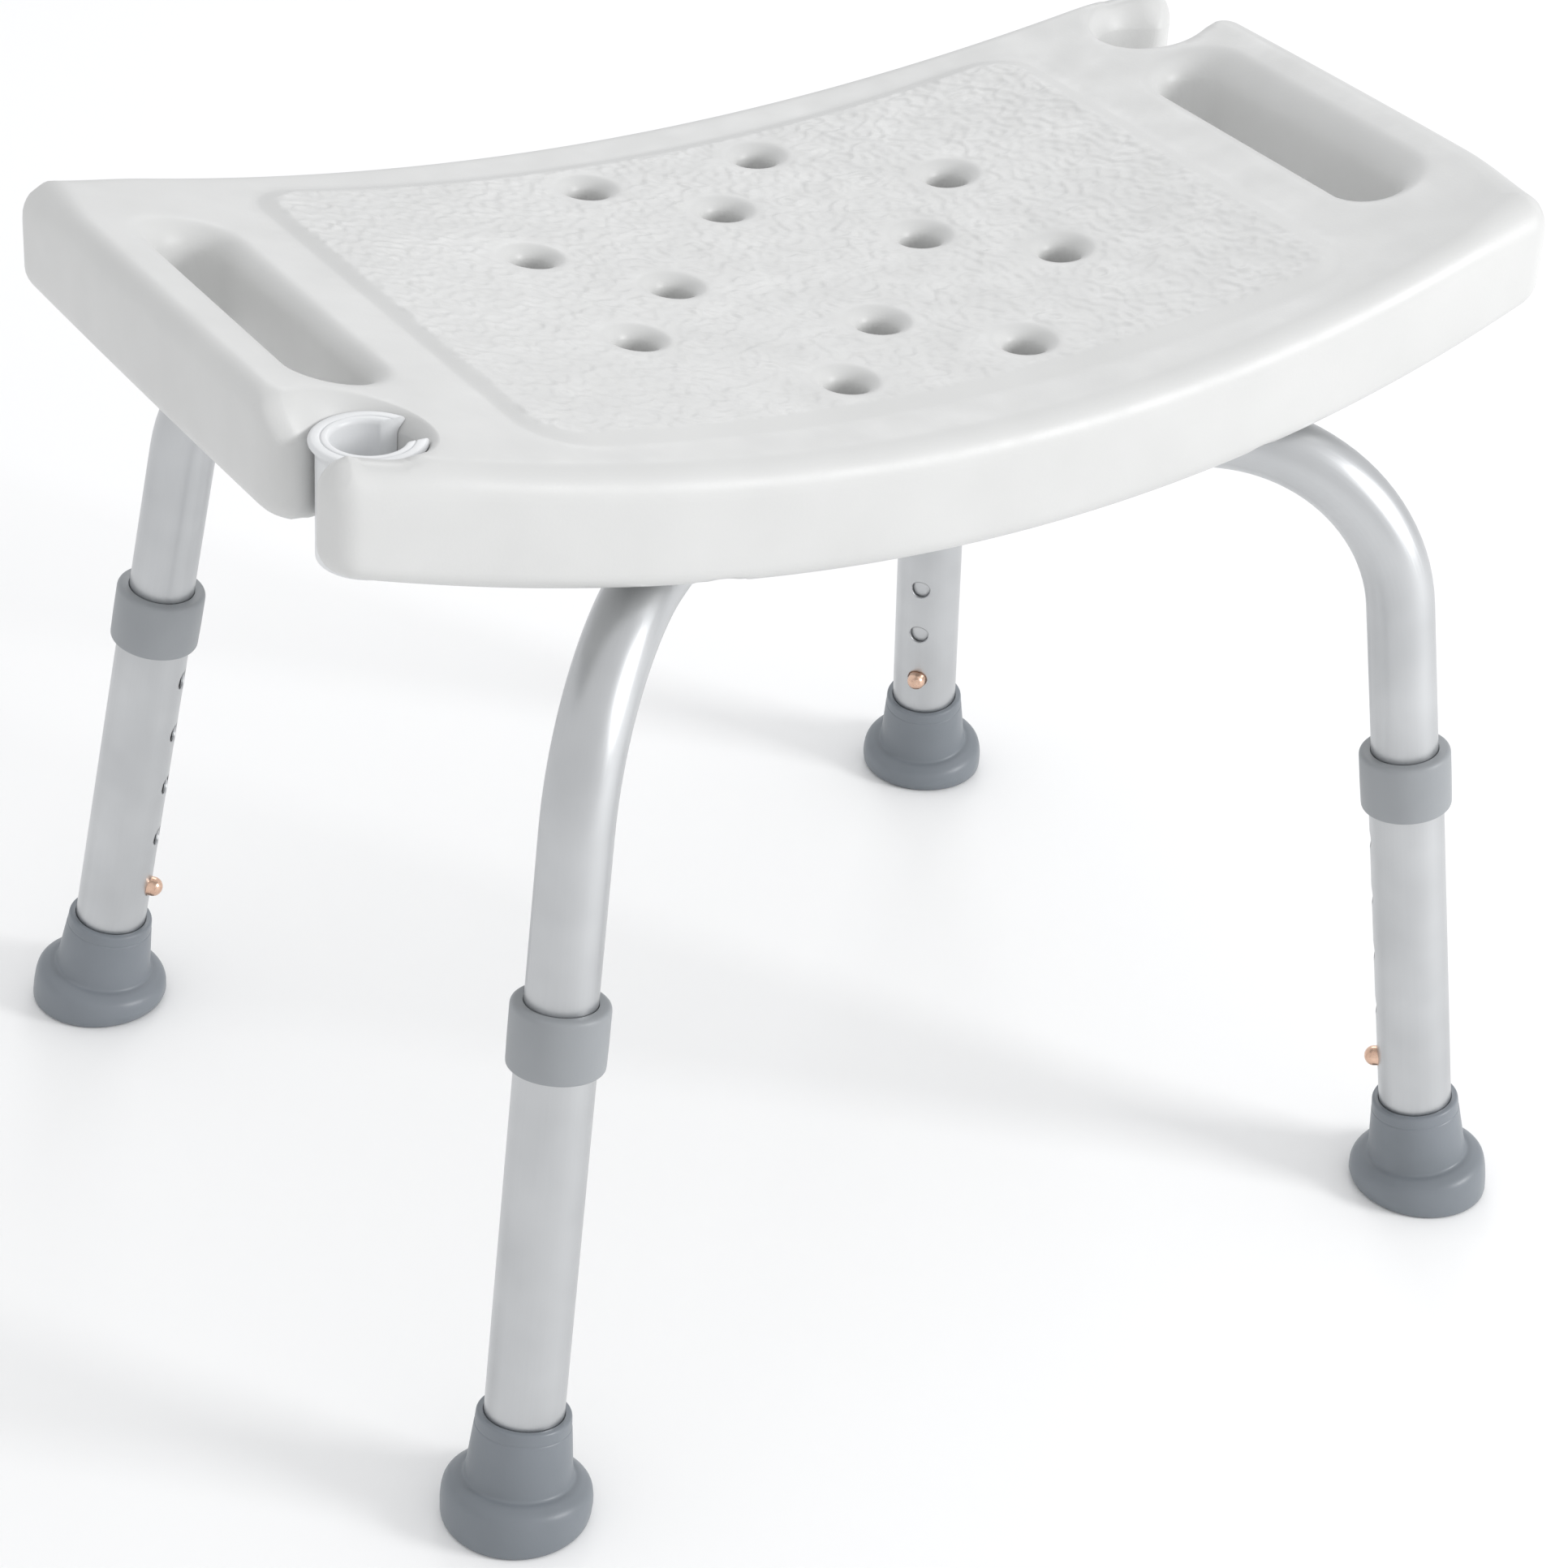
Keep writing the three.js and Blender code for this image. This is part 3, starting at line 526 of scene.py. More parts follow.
def channel_height(x, y):
    """The top of the channels that the frame tubes lie in."""
    top = np.full(np.shape(x), NOWHERE)
    for angle in (TUBE_ANGLE, -TUBE_ANGLE):
        along = np.abs(x * math.cos(angle) + y * math.sin(angle))
        across = x * math.sin(angle) - y * math.cos(angle)
        past = np.clip(along - bend_start(), 0, FRAME_TUBE["bend"])
        fall = FRAME_TUBE["bend"] - np.sqrt(FRAME_TUBE["bend"] ** 2 - past**2)
        half = np.sqrt(np.maximum(CHANNEL_RADIUS**2 - across**2, 0))
        inside = np.abs(across) < CHANNEL_RADIUS
        top = np.maximum(top, np.where(inside, FRAME_TUBE["run_z"] - fall + half, NOWHERE))
    return top


def arch_height(x, y):
    """Shallow drainage arches under the long sides."""
    radius = (ARCH["half_width"] ** 2 + ARCH["height"] ** 2) / (2 * ARCH["height"])
    offset = np.abs(x) - ARCH["x"]
    rise = ARCH["height"] - radius + np.sqrt(np.maximum(radius**2 - offset**2, 0))
    under = seat_top(ARCH["x"]) - SEAT_THICKNESS
    reach = smooth((np.abs(y) - ARCH["inner_y"] + ARCH["fade"]) / (2 * ARCH["fade"]))
    return under - ARCH["sunk"] + (rise + ARCH["sunk"]) * reach


def bottom_height(x, y):
    height = seat_top(x) - SEAT_THICKNESS
    height = height + lip(-rim(x, y), UNDER_ROUND, UNDER_ROUND)
    height = height + lip(slots(x, y), SLOT_UNDER, SLOT_UNDER) + lip(drains(x, y), DRAIN_UNDER, DRAIN_UNDER)
    return np.maximum(np.maximum(height, channel_height(x, y)), arch_height(x, y))


# ---- The seat's mesh ----
def gradient(shape, points):
    step = 0.01
    x, y = points[..., 0], points[..., 1]
    slope = [shape(x + step, y) - shape(x - step, y), shape(x, y + step) - shape(x, y - step)]
    return np.stack(slope, -1) / (2 * step)


def snapped(shape, points):
    """Points moved onto a shape's edge."""
    for _ in range(4):
        slope = gradient(shape, points)
        short = shape(points[..., 0], points[..., 1])[..., None]
        points = points - short * slope / np.maximum((slope**2).sum(-1, keepdims=True), 1e-6)
    return points


def traced(shape, start, step):
    """A shape's edge, followed anticlockwise from near a starting point and back to it."""
    first = snapped(shape, np.array(start, float))
    loop, point = [first], first
    while True:
        slope = gradient(shape, point)
        ahead = np.array([-slope[1], slope[0]]) / np.linalg.norm(slope)
        point = snapped(shape, point + ahead * step)
        if len(loop) > 3 and np.linalg.norm(point - first) < 0.9 * step:
            return np.array(loop)
        loop.append(point)


def circle(centre, radius, count):
    angles = np.linspace(0, 2 * math.pi, count, endpoint=False)
    return np.stack([np.cos(angles), np.sin(angles)], -1) * radius + np.array(centre)


def rows_beside(shape, loop, distances, sign=-1):
    """Copies of a loop at distances beside it, without the points that another edge is nearer to."""
    slope = gradient(shape, loop)
    away = sign * slope / np.linalg.norm(slope, axis=1, keepdims=True)
    rows = []
    for distance in distances:
        reach = np.broadcast_to(distance, len(loop))
        row = loop + away * reach[:, None]
        held = np.abs(sign * shape(row[:, 0], row[:, 1]) - reach) < 0.04 * reach + 0.05
        rows.append(row[held])
    return np.concatenate(rows)


def lattice(half_x, half_y, spacing):
    """A triangular grid of points about the origin."""
    x = np.arange(-half_x, half_x, spacing)
    y = np.arange(-half_y, half_y, spacing * 0.87)
    grid = np.stack(np.meshgrid(x, y), -1)
    grid[1::2, :, 0] += spacing / 2
    return grid.reshape(-1, 2)


# How finely the seat is drawn: distances in millimetres, and rows as shares of an edge's width.
RIM_STEP = 1.6
SLOT_STEP = 2.0
PANEL_STEP = 2.4
DRAIN_POINTS = 44
WALL_ROWS = 5
GRAIN_SPACING = 1.25
TOP_SPACING = 4.0
UNDER_SPACING = 4.5
GRID_HALF_DEPTH = 150
GRID_MARGIN = 5
CLEAR = 1.5
SHOULDER_ROWS = np.linspace(0, PANEL_SHOULDER - 1.2, 6)
DRAIN_UNDER_ROWS = (0.3, 0.8, DRAIN_UNDER)
CHANNEL_EDGE = 0.15
LIP_ROWS = np.array([0.015, 0.05, 0.1, 0.17, 0.26, 0.37, 0.5, 0.65, 0.82, 1.0])
UNDER_ROWS = np.array([0.03, 0.12, 0.28, 0.5, 0.75, 1.0])


def seat_points_above(loops):
    """Points for the top sheet: rows along every edge, the panel's fine grid and a coarse one."""
    rim_loop, slot_loops, drain_loops = loops
    width = rim_lip(rim_loop[:, 0], rim_loop[:, 1])[0]
    parts = [rows_beside(rim, rim_loop, [row * width for row in LIP_ROWS])]
    parts += [rows_beside(slots, loop, LIP_ROWS * SLOT_LIP[0], 1) for loop in slot_loops]
    parts += [rows_beside(drains, loop, LIP_ROWS[1:] * DRAIN_LIP[0], 1) for loop in drain_loops]

    panel_loop = traced(panel, (0, -PANEL["half_depth"]), PANEL_STEP)
    parts.append(rows_beside(panel, panel_loop, SHOULDER_ROWS))
    fine = lattice(SEAT["half_length"], GRID_HALF_DEPTH, GRAIN_SPACING)
    x, y = fine.T
    fine = fine[(panel(x, y) < -PANEL_SHOULDER + 0.6) & (drains(x, y) > DRAIN_LIP[0] + 0.5)]
    coarse = lattice(SEAT["half_length"] + GRID_MARGIN, GRID_HALF_DEPTH, TOP_SPACING)
    x, y = coarse.T
    free = (-rim(x, y) > rim_lip(x, y)[0] + CLEAR) & (slots(x, y) > SLOT_LIP[0] + CLEAR)
    coarse = coarse[free & (panel(x, y) > 1.6)]
    return np.concatenate([*parts, fine, coarse])


def seat_points_below(loops):
    """Points for the underside: rows along the edges and along the channels, and a coarse grid."""
    rim_loop, slot_loops, drain_loops = loops
    parts = [rows_beside(rim, rim_loop, UNDER_ROWS * UNDER_ROUND)]
    parts += [rows_beside(slots, loop, UNDER_ROWS * SLOT_UNDER, 1) for loop in slot_loops]
    parts += [rows_beside(drains, loop, DRAIN_UNDER_ROWS, 1) for loop in drain_loops]
    across = CHANNEL_RADIUS * np.sin(np.linspace(-math.pi / 2, math.pi / 2, 15))
    across = np.concatenate([[-CHANNEL_RADIUS - CHANNEL_EDGE], across, [CHANNEL_RADIUS + CHANNEL_EDGE]])
    along = np.arange(-200, 200.1, 3.0)
    lines = []
    for angle in (TUBE_ANGLE, -TUBE_ANGLE):
        t, s = (grid.ravel() for grid in np.meshgrid(along, across))
        x, y = t * math.cos(angle) + s * math.sin(angle), t * math.sin(angle) - s * math.cos(angle)
        lines.append(np.stack([x, y], -1))
    channels = np.concatenate(lines)
    x, y = channels.T
    channels = channels[-on_seat(x, y) > 3.0]
    coarse = lattice(SEAT["half_length"] + GRID_MARGIN, GRID_HALF_DEPTH, UNDER_SPACING)
    x, y = coarse.T
    free = (-rim(x, y) > UNDER_ROUND + CLEAR) & (slots(x, y) > SLOT_UNDER + CLEAR)
    free &= drains(x, y) > DRAIN_UNDER + 2
    for angle in (TUBE_ANGLE, -TUBE_ANGLE):
        free &= np.abs(x * math.sin(angle) - y * math.cos(angle)) > CHANNEL_RADIUS + 2
    return np.concatenate([*parts, channels, coarse[free]])


def seat_loops():
    """The edges of the seat's plan: its outline, the hand slots and the drain holes."""
    rim_loop = traced(rim, (0, -SEAT["half_depth"] - SEAT["side_bulge"]), RIM_STEP)
    slot_loop = traced(slot, (SLOT["x"], SLOT["y"] - SLOT["half_length"]), SLOT_STEP)
    drain_loops = [circle(centre, DRAIN_RADIUS, DRAIN_POINTS) for centre in DRAINS]
    return rim_loop, [slot_loop, -slot_loop], drain_loops


def build_seat():
    """The shell's outside: a sheet above, a sheet below, and walls along every edge."""
    loops = seat_loops()
    flat = [loops[0], *loops[1], *loops[2]]

    def keep(centres):
        return on_seat(centres[:, 0], centres[:, 1]) < 0

    vertices, faces, starts = [], [], []
    sheets = ((seat_points_above(loops), top_height), (seat_points_below(loops), bottom_height))
    for points, height in sheets:
        plan = np.concatenate([*flat, points])
        triangles = triangulate(flat, points, keep) + len(vertices)
        starts.append(len(vertices))
        vertices.extend(np.column_stack([plan, height(plan[:, 0], plan[:, 1])]))
        faces.extend(triangles.tolist())
    offset = 0
    for loop in flat:
        above = range(starts[0] + offset, starts[0] + offset + len(loop))
        below = range(starts[1] + offset, starts[1] + offset + len(loop))
        faces.extend(wall_between(above, below, vertices, WALL_ROWS))
        offset += len(loop)
    return piece("seat", vertices, faces, "frame", "seat_white", ["seat_shell"])


# ---- Tubes, drawn on their unrolled surface ----
HOLE_POINTS = 28
HOLE_ROWS = (0.7, 1.7)
HOLE_CLEAR = 2.2


def hole_loop(u, v, radius, tube_radius):
    """A drilled hole's edge on the unrolled surface."""
    angles = np.linspace(0, 2 * math.pi, HOLE_POINTS, endpoint=False)
    sideways = tube_radius * np.arcsin(radius * np.sin(angles) / tube_radius)
    return np.stack([u + sideways, v + radius * np.cos(angles)], -1)


def tube_sheet(radius, length, holes, columns, spacing):
    """The unrolled surface as plan points, triangles, the index ranges of its outline and of each
    hole's edge, and its number of rows."""
    width = 2 * math.pi * radius
    rows = max(2, round(length / spacing))
    u = np.linspace(0, width, columns + 1)
    v = np.linspace(0, length, rows + 1)
    ends = [(x, 0) for x in u] + [(width, y) for y in v[1:]]
    ends += [(x, length) for x in u[-2::-1]] + [(0, y) for y in v[-2:0:-1]]
    loops = [np.array(ends)] + [hole_loop(x, y, size, radius) for x, y, size in holes]
    grid = np.stack(np.meshgrid(u[1:-1], v[1:-1]), -1).reshape(-1, 2)
    rings = []
    for x, y, size in holes:
        grid = grid[length_of(grid[:, 0] - x, grid[:, 1] - y) > size + HOLE_CLEAR]
        rings += [circle((x, y), size + row, HOLE_POINTS) for row in HOLE_ROWS]

    def keep(centres):
        inside = np.ones(len(centres), bool)
        for x, y, size in holes:
            inside &= length_of(centres[:, 0] - x, centres[:, 1] - y) > size * 0.99
        return inside

    points = np.concatenate([grid, *rings])
    triangles = triangulate(loops, points, keep)
    plan = np.concatenate([*loops, points])
    edges, start = [], 0
    for loop in loops:
        edges.append((start, start + len(loop)))
        start += len(loop)
    return plan, triangles, edges, rows


def tube_mesh(radius, wall, length, holes, columns, spacing, place):
    """A tube with true walls and holes. place(angle, along, radius) puts a surface point in space."""
    plan, triangles, edges, rows = tube_sheet(radius, length, holes, columns, spacing)
    angle = plan[:, 0] / radius + math.pi / 2
    outer = place(angle, plan[:, 1], radius)
    inner = place(angle, plan[:, 1], radius - wall)
    vertices = [*outer, *inner]
    count = len(plan)
    faces = triangles.tolist() + (triangles + count).tolist()
    for start, end in edges[1:]:
        faces += wall_between(range(start, end), range(start + count, end + count), vertices, 1)
    # The outline's first and third sides are the tube's open ends.
    for first in (0, columns + rows):
        for i in range(first, first + columns):
            faces.append((i, i + 1, i + 1 + count, i + count))
    return vertices, faces, np.concatenate([plan, plan])


def tube_path(dip):
    """A frame tube's middle line as arrays of length along it, x, z and direction, end to end."""
    bend, run_z = FRAME_TUBE["bend"], FRAME_TUBE["run_z"]
    turn = math.pi / 2 - LEAN
    parts = []
    if dip:
        lean = 2 * math.atan(dip / (DIP["outer"] - DIP["inner"]))
        radius = (DIP["outer"] - DIP["inner"]) / (2 * math.sin(lean))
        a = np.linspace(0, lean, 40)
        parts.append((np.linspace(0, DIP["inner"], 4), np.full(4, run_z - dip), np.zeros(4)))
        parts.append((DIP["inner"] + radius * np.sin(a), run_z - dip + radius * (1 - np.cos(a)), a))
        b = a[-2::-1]
        parts.append((DIP["outer"] - radius * np.sin(b), run_z - radius * (1 - np.cos(b)), b))
    else:
        parts.append((np.zeros(1), np.full(1, run_z), np.zeros(1)))
    a = np.linspace(0, turn, 80)
    parts.append((bend_start() + bend * np.sin(a), run_z - bend + bend * np.cos(a), -a))
    foot = FRAME_TUBE["low_end"]
    end_x, end_z = FOOT_REACH - foot * math.sin(LEAN), foot * math.cos(LEAN)
    parts.append((np.array([end_x]), np.array([end_z]), np.array([-turn])))
    x, z, heading = (np.concatenate(column) for column in zip(*parts))
    x, z = np.concatenate([-x[:0:-1], x]), np.concatenate([z[:0:-1], z])
    heading = np.concatenate([-heading[:0:-1], heading])
    steps = length_of(np.diff(x), np.diff(z))
    return np.concatenate([[0], np.cumsum(steps)]), x, z, heading


def build_frame_tube(name, turn, dip):
    """A bent tube across the stool, with button holes at its ends and screw holes under the seat."""
    along, x, z, heading = tube_path(dip)
    length = along[-1]
    radius = FRAME_TUBE["radius"]
    quarter = 2 * math.pi * radius / 4
    from_end = BUTTON_HEIGHT - FRAME_TUBE["low_end"]
    holes = [(quarter, from_end, HOLE_RADIUS), (quarter, length - from_end, HOLE_RADIUS)]
    for reach in (-SCREW_REACH, 0, SCREW_REACH):
        at = float(np.interp(reach, x, along))
        holes += [(quarter, at, SCREW_HOLE), (3 * quarter, at, SCREW_HOLE)]
    matrix = Matrix.Rotation(turn, 4, "Z")

    def place(angle, v, size):
        centre_x, centre_z = np.interp(v, along, x), np.interp(v, along, z)
        bearing = np.interp(v, along, heading)
        out = size * np.cos(angle)
        points = [centre_x - np.sin(bearing) * out, size * np.sin(angle),
                  centre_z + np.cos(bearing) * out]
        return placed(np.stack(points, -1), matrix)

    vertices, faces, uv = tube_mesh(radius, FRAME_TUBE["wall"], length, holes, 40, 4.5, place)
    return piece(name, vertices, faces, "frame", "frame_aluminium", [name], uv)


def build_leg_tube(leg):
    """A straight leg tube with its row of height holes on the inner side."""
    radius, low, high = LEG_TUBE["radius"], LEG_TUBE["low"], LEG_TUBE["high"]
    quarter = 2 * math.pi * radius / 4
    heights = [BUTTON_HEIGHT + i * HOLE_PITCH - low for i in range(HOLE_COUNT)]
    holes = [(quarter, height, HOLE_RADIUS) for height in heights]
    matrix = leg_place(LEG_ANGLES[leg])

    def place(angle, v, size):
        points = [size * np.cos(angle), size * np.sin(angle), v + low]
        return placed(np.stack(points, -1), matrix)

    vertices, faces, uv = tube_mesh(radius, LEG_TUBE["wall"], high - low, holes, 44, 5, place)
    name = f"leg_tube_{leg}"
    return piece(name, vertices, faces, f"leg_{leg}", "frame_aluminium", [name], uv)


# ---- Turned parts ----
def build_collar(leg):
    """A collar with well rounded outer edges."""
    low, middle, shelf, high = (COLLAR[key] for key in ("low", "middle", "shelf", "high"))
    bore, lip_bore, outer = COLLAR["bore"], COLLAR["lip_bore"], COLLAR["outer"]
    profile = rounded(
        [(bore, middle), (bore, low), (COLLAR["low_outer"], low), (outer, middle), (outer, high),
         (lip_bore, high), (lip_bore, shelf), (bore, shelf), (bore, middle + SEAM)],
        [0.3, 3.0, 2, 3.4, 0.4, 0.3, 0.3],
    )
    vertices, faces = lathe(profile, 72)
    name = f"leg_collar_{leg}"
    vertices = placed(vertices, leg_place(LEG_ANGLES[leg]))
    return piece(name, vertices, faces, f"leg_{leg}", "collar_grey", [name])


def build_foot(leg):
    """A flared rubber tip with a ring-grooved sole that lies flat on the floor."""
    top, floor, depth = FOOT["groove_top"], FOOT["groove_floor"], FOOT["groove_depth"]
    bore, bore_floor, neck = FOOT["bore"], FOOT["bore_floor"], FOOT["neck"]
    sole = [(0.0, 0.0)]
    for groove in FOOT["grooves"]:
        sole += [(groove - top, 0), (groove - floor, depth), (groove + floor, depth), (groove + top, 0)]
    sole += [(24.8, 0), (25.9, 0.35), (26.6, 1.2)]
    upper = rounded(
        [(26.9, 2.4), (27.25, 7), (26.4, 12.6), (22.0, 15.2), (19.6, 15.6), (18.9, 20),
         (17.35, 36.0), (17.05, 36.4), (neck, 37.0), (16.9, FOOT["top"]), (bore, FOOT["top"]),
         (14.6, bore_floor), (0, bore_floor)],
        [3, 4, 2, 1.2, 2.5, 0.3, 0.3, 0.4, 1.3, 0.3, 0.5],
    )
    tilt = math.tan(LEAN)

    def level(x, y, height):
        """Heights low on the outside are measured from the floor, and all others along the leg."""
        low = float(1 - smooth((height - FOOT["level_from"]) / FOOT["level_fade"]))
        outside = height < bore_floor - 0.1 or math.hypot(x, y) > bore + 0.55
        on_sole = low if outside else 0
        return height - x * tilt * on_sole

    vertices, faces = lathe(sole + upper, 72, level)
    name = f"leg_foot_{leg}"
    vertices = placed(vertices, leg_place(LEG_ANGLES[leg]))
    vertices[:, 2] = np.maximum(vertices[:, 2], 0)
    return piece(name, vertices, faces, f"leg_{leg}", "foot_rubber", [name])


def build_button(leg):
    """The snap button, whose axis points from the leg's axis to the stool's centre."""
    stem, flange, edge = BUTTON["stem"], BUTTON["flange"], BUTTON["flange_edge"]
    low, high = BUTTON["low"], BUTTON["high"]
    dome = [(stem * math.cos(a), BUTTON["dome_z"] + BUTTON["dome"] * math.sin(a))
            for a in np.linspace(0, math.pi / 2, 10)[:-1]]
    profile = [(0, low), (edge, low), (flange, 7.9), (flange, 9.0), (edge, high), (stem, high), *dome,
               (0, BUTTON["tip"])]
    vertices, faces = lathe(profile, 40)
    turn = Matrix.Translation((0, 0, BUTTON_HEIGHT)) @ Matrix.Rotation(-math.pi / 2, 4, "Y")
    name = f"snap_button_{leg}"
    vertices = placed(vertices, leg_place(LEG_ANGLES[leg]) @ turn)
    return piece(name, vertices, faces, f"button_{leg}", "button_brass", [name])


def build_clip(leg):
    """The spring strip behind a button, swept along a smooth curve through its knots."""
    knots = [(-6.7, -9), (-6.7, 9), (-5.9, 25), (-3.4, 42), (0.9, 48.2), (5.6, 42), (7.5, 25),
             (9, 9), (9, -9)]
    knots = [Vector((x, 0, BUTTON_HEIGHT + z)) for x, z in knots]
    middle = []
    for i in range(len(knots) - 1):
        p0, p3 = knots[max(i - 1, 0)], knots[min(i + 2, len(knots) - 1)]
        p1, p2 = knots[i], knots[i + 1]
        for t in np.linspace(0, 1, 8, endpoint=False):
            slope_1, slope_2 = (p2 - p0) / 2, (p3 - p1) / 2
            blend_1, blend_2 = 2 * t**3 - 3 * t**2 + 1, t**3 - 2 * t**2 + t
            middle.append(p1 * blend_1 + slope_1 * blend_2 + p2 * (1 - blend_1)
                          + slope_2 * (t**3 - t**2))
    middle.append(knots[-1])
    vertices = []
    for i, point in enumerate(middle):
        along = (middle[min(i + 1, len(middle) - 1)] - middle[max(i - 1, 0)]).normalized()
        out = Vector((-along.z, 0, along.x)) * CLIP["half_thickness"]
        wide = CLIP["half_width"]
        for side, offset in ((-wide, -out), (wide, -out), (wide, out), (-wide, out)):
            vertices.append(point + offset + Vector((0, side, 0)))
    faces = [(0, 1, 2, 3), tuple(range(len(vertices) - 4, len(vertices)))]
    for i in range(0, len(vertices) - 4, 4):
        for j in range(4):
            k = (j + 1) % 4
            faces.append((i + j, i + k, i + 4 + k, i + 4 + j))
    name = f"button_clip_{leg}"
    place = leg_place(LEG_ANGLES[leg])
    obj = piece(name, placed(vertices, place), faces, None, "fastener_steel", [name])
    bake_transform(obj)
    return obj


def hexagonal(point):
    """A point of the round socket moved onto a hexagon with its corners on the same circle."""
    angle = math.atan2(point[1], point[0])
    off_flat = (angle + math.pi / 6) % (math.pi / 3) - math.pi / 6
    size = SCREW["hex_flat"] / math.cos(off_flat)
    return (point[0] * size, point[1] * size, point[2])


def build_screw(name, angle, reach, tube_z):
    """A pan-head screw with a hexagon recess, up through a tube into the seat."""
    head_top = tube_z - FRAME_TUBE["radius"] - SCREW["below_tube"]
    low = head_top - SCREW["head_height"]
    floor, socket_radius = low + SCREW["socket_depth"], SCREW["socket"]
    radius, width, top = SCREW["shank"], SCREW["head"], SCREW["top"]
    socket = [(0, floor), (socket_radius, floor), (socket_radius, low + 0.1), (2.5, low)]
    head = rounded([(2.5, low), (3.9, low), (width, low + 1.4), (width, head_top), (radius, head_top)],
                   [1.4, 1.6, 0.3])
    threads = []
    for height in np.arange(SCREW["thread_low"], SCREW["thread_high"], SCREW["pitch"]):
        threads += [(SCREW["root"], height), (radius, height + 0.62)]
    shank = [(radius, 333.4), *threads, (2.4, 345.9), (1.6, top), (0, top)]
    vertices, faces = lathe(socket + head[1:] + shank, 48)
    vertices = np.array([hexagonal(v) if v[2] < low + 2 and math.hypot(*v[:2]) < 2.4 else v
                         for v in vertices])
    place = Matrix.Rotation(angle, 4, "Z") @ Matrix.Translation((reach, 0, 0))
    return piece(name, placed(vertices, place), faces, "frame", "fastener_steel", [name])


def build_saddle(name, angle, reach, tube_z):
    """A round washer whose upper face fits the tube above it."""
    radius = FRAME_TUBE["radius"]
    low = tube_z - radius - SADDLE["below_tube"]
    fit = radius + TUBE_FIT
    bore = SADDLE["bore"]

    def trough(_x, y, height):
        return tube_z - math.sqrt(fit**2 - y * y) if height > low + 2 else height

    steps = [(r, low + 5) for r in SADDLE["steps"]]
    profile = [(bore, low), (8.2, low), (8.8, low + 0.3), (9, low + 0.9), *steps]
    vertices, faces = lathe(profile, 56, trough)
    place = Matrix.Rotation(angle, 4, "Z") @ Matrix.Translation((reach, 0, 0))
    return piece(name, placed(vertices, place), faces, "frame", "collar_grey", [name])


def build_spacer():
    """The block between the crossed tubes, hollowed above and below to fit them."""
    high, low = FRAME_TUBE["run_z"], FRAME_TUBE["run_z"] - DIP["depth"]
    fit = FRAME_TUBE["radius"] + TUBE_FIT
    middle = (high + low) / 2
    least = SPACER["least"]

    def fitted(x, y, height):
        if abs(height - middle) < 1:
            return height
        angle = TUBE_ANGLE if height > middle else -TUBE_ANGLE
        across = x * math.sin(angle) - y * math.cos(angle)
        half = math.sqrt(max(fit**2 - across**2, 0))
        return min(high - half, high - least) if height > middle else max(low + half, low + least)

    radii = SPACER["radii"]
    profile = [(r, low) for r in radii] + [(SPACER["waist"], middle)]
    profile += [(r, high) for r in reversed(radii)]
    vertices, faces = lathe(profile, 64, fitted)
    return piece("cross_spacer", vertices, faces, "frame", "collar_grey", ["cross_spacer"])


def build_sleeve():
    """The C-shaped holder sleeve, with a fine ring groove in its top face."""
    outer, bore, flange = SLEEVE["outer"], SLEEVE["bore"], SLEEVE["flange"]
    low, high = SLEEVE["low"], SLEEVE["high"]
    middle = SEAT_TOP
    profile = rounded(
        [(bore, middle), (bore, low), (outer, low), (outer, high - 5), (flange, high - 1.2),
         (flange - 0.9, high), (15.6, high), (15.3, high - 0.5), (15.0, high), (bore + 0.6, high),
         (bore, high - 1.2), (bore, middle + SEAM)],
        [0.8, 1.0, 1.4, 1.0, 0.9, 0.25, 0.2, 0.25, 0.7, 0.7],
        4,
    )
    turns = 72
    vertices, faces = [], []
    for radius, height in profile:
        edge = math.asin(SLEEVE["slot"] / radius)
        for angle in np.linspace(edge, 2 * math.pi - edge, turns):
            vertices.append((radius * math.cos(angle), radius * math.sin(angle), height))
    count = len(profile)
    for i in range(count):
        j = (i + 1) % count
        for k in range(turns - 1):
            a, b = i * turns + k, j * turns + k
            faces.append((a, a + 1, b + 1, b))
    faces.append([i * turns for i in range(count)])
    faces.append([i * turns + turns - 1 for i in range(count)])
    vertices = placed(vertices, Matrix.Translation((*SLEEVE_AXIS, 0)))
    obj = piece("holder", vertices, faces, "holder", "holder_white", ["holder_sleeve"])
    bevel = obj.modifiers.new("soft edges", "BEVEL")
    bevel.width = 0.5 * MM
    bevel.segments = 2
    bevel.limit_method = "ANGLE"
    bevel.angle_limit = math.radians(60)
    return obj


# ---- Build ----
build_seat()
build_frame_tube("frame_tube_a", TUBE_ANGLE, 0)
build_frame_tube("frame_tube_b", -TUBE_ANGLE, DIP["depth"])
build_spacer()
build_sleeve()
build_screw("cross_bolt", 0, 0, FRAME_TUBE["run_z"] - DIP["depth"])
build_saddle("cross_saddle", -TUBE_ANGLE, 0, FRAME_TUBE["run_z"] - DIP["depth"])
for leg_name, leg_angle in LEG_ANGLES.items():
    build_leg_tube(leg_name)
    build_collar(leg_name)
    build_foot(leg_name)
    build_button(leg_name)
    build_clip(leg_name)
    build_screw(f"seat_screw_{leg_name}", leg_angle, SCREW_REACH, FRAME_TUBE["run_z"])
    build_saddle(f"seat_saddle_{leg_name}", leg_angle, SCREW_REACH, FRAME_TUBE["run_z"])

# The CAD nodes that stay shown are inside other pieces.
SHOWN_NODES = {"seat_insert": "insert_brass", "foot_disc": "fastener_steel"}
for node_name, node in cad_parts.items():
    for prefix, look in SHOWN_NODES.items():
        if node_name.startswith(prefix):
            node.data.materials.clear()
            node.data.materials.append(MATERIALS[look])


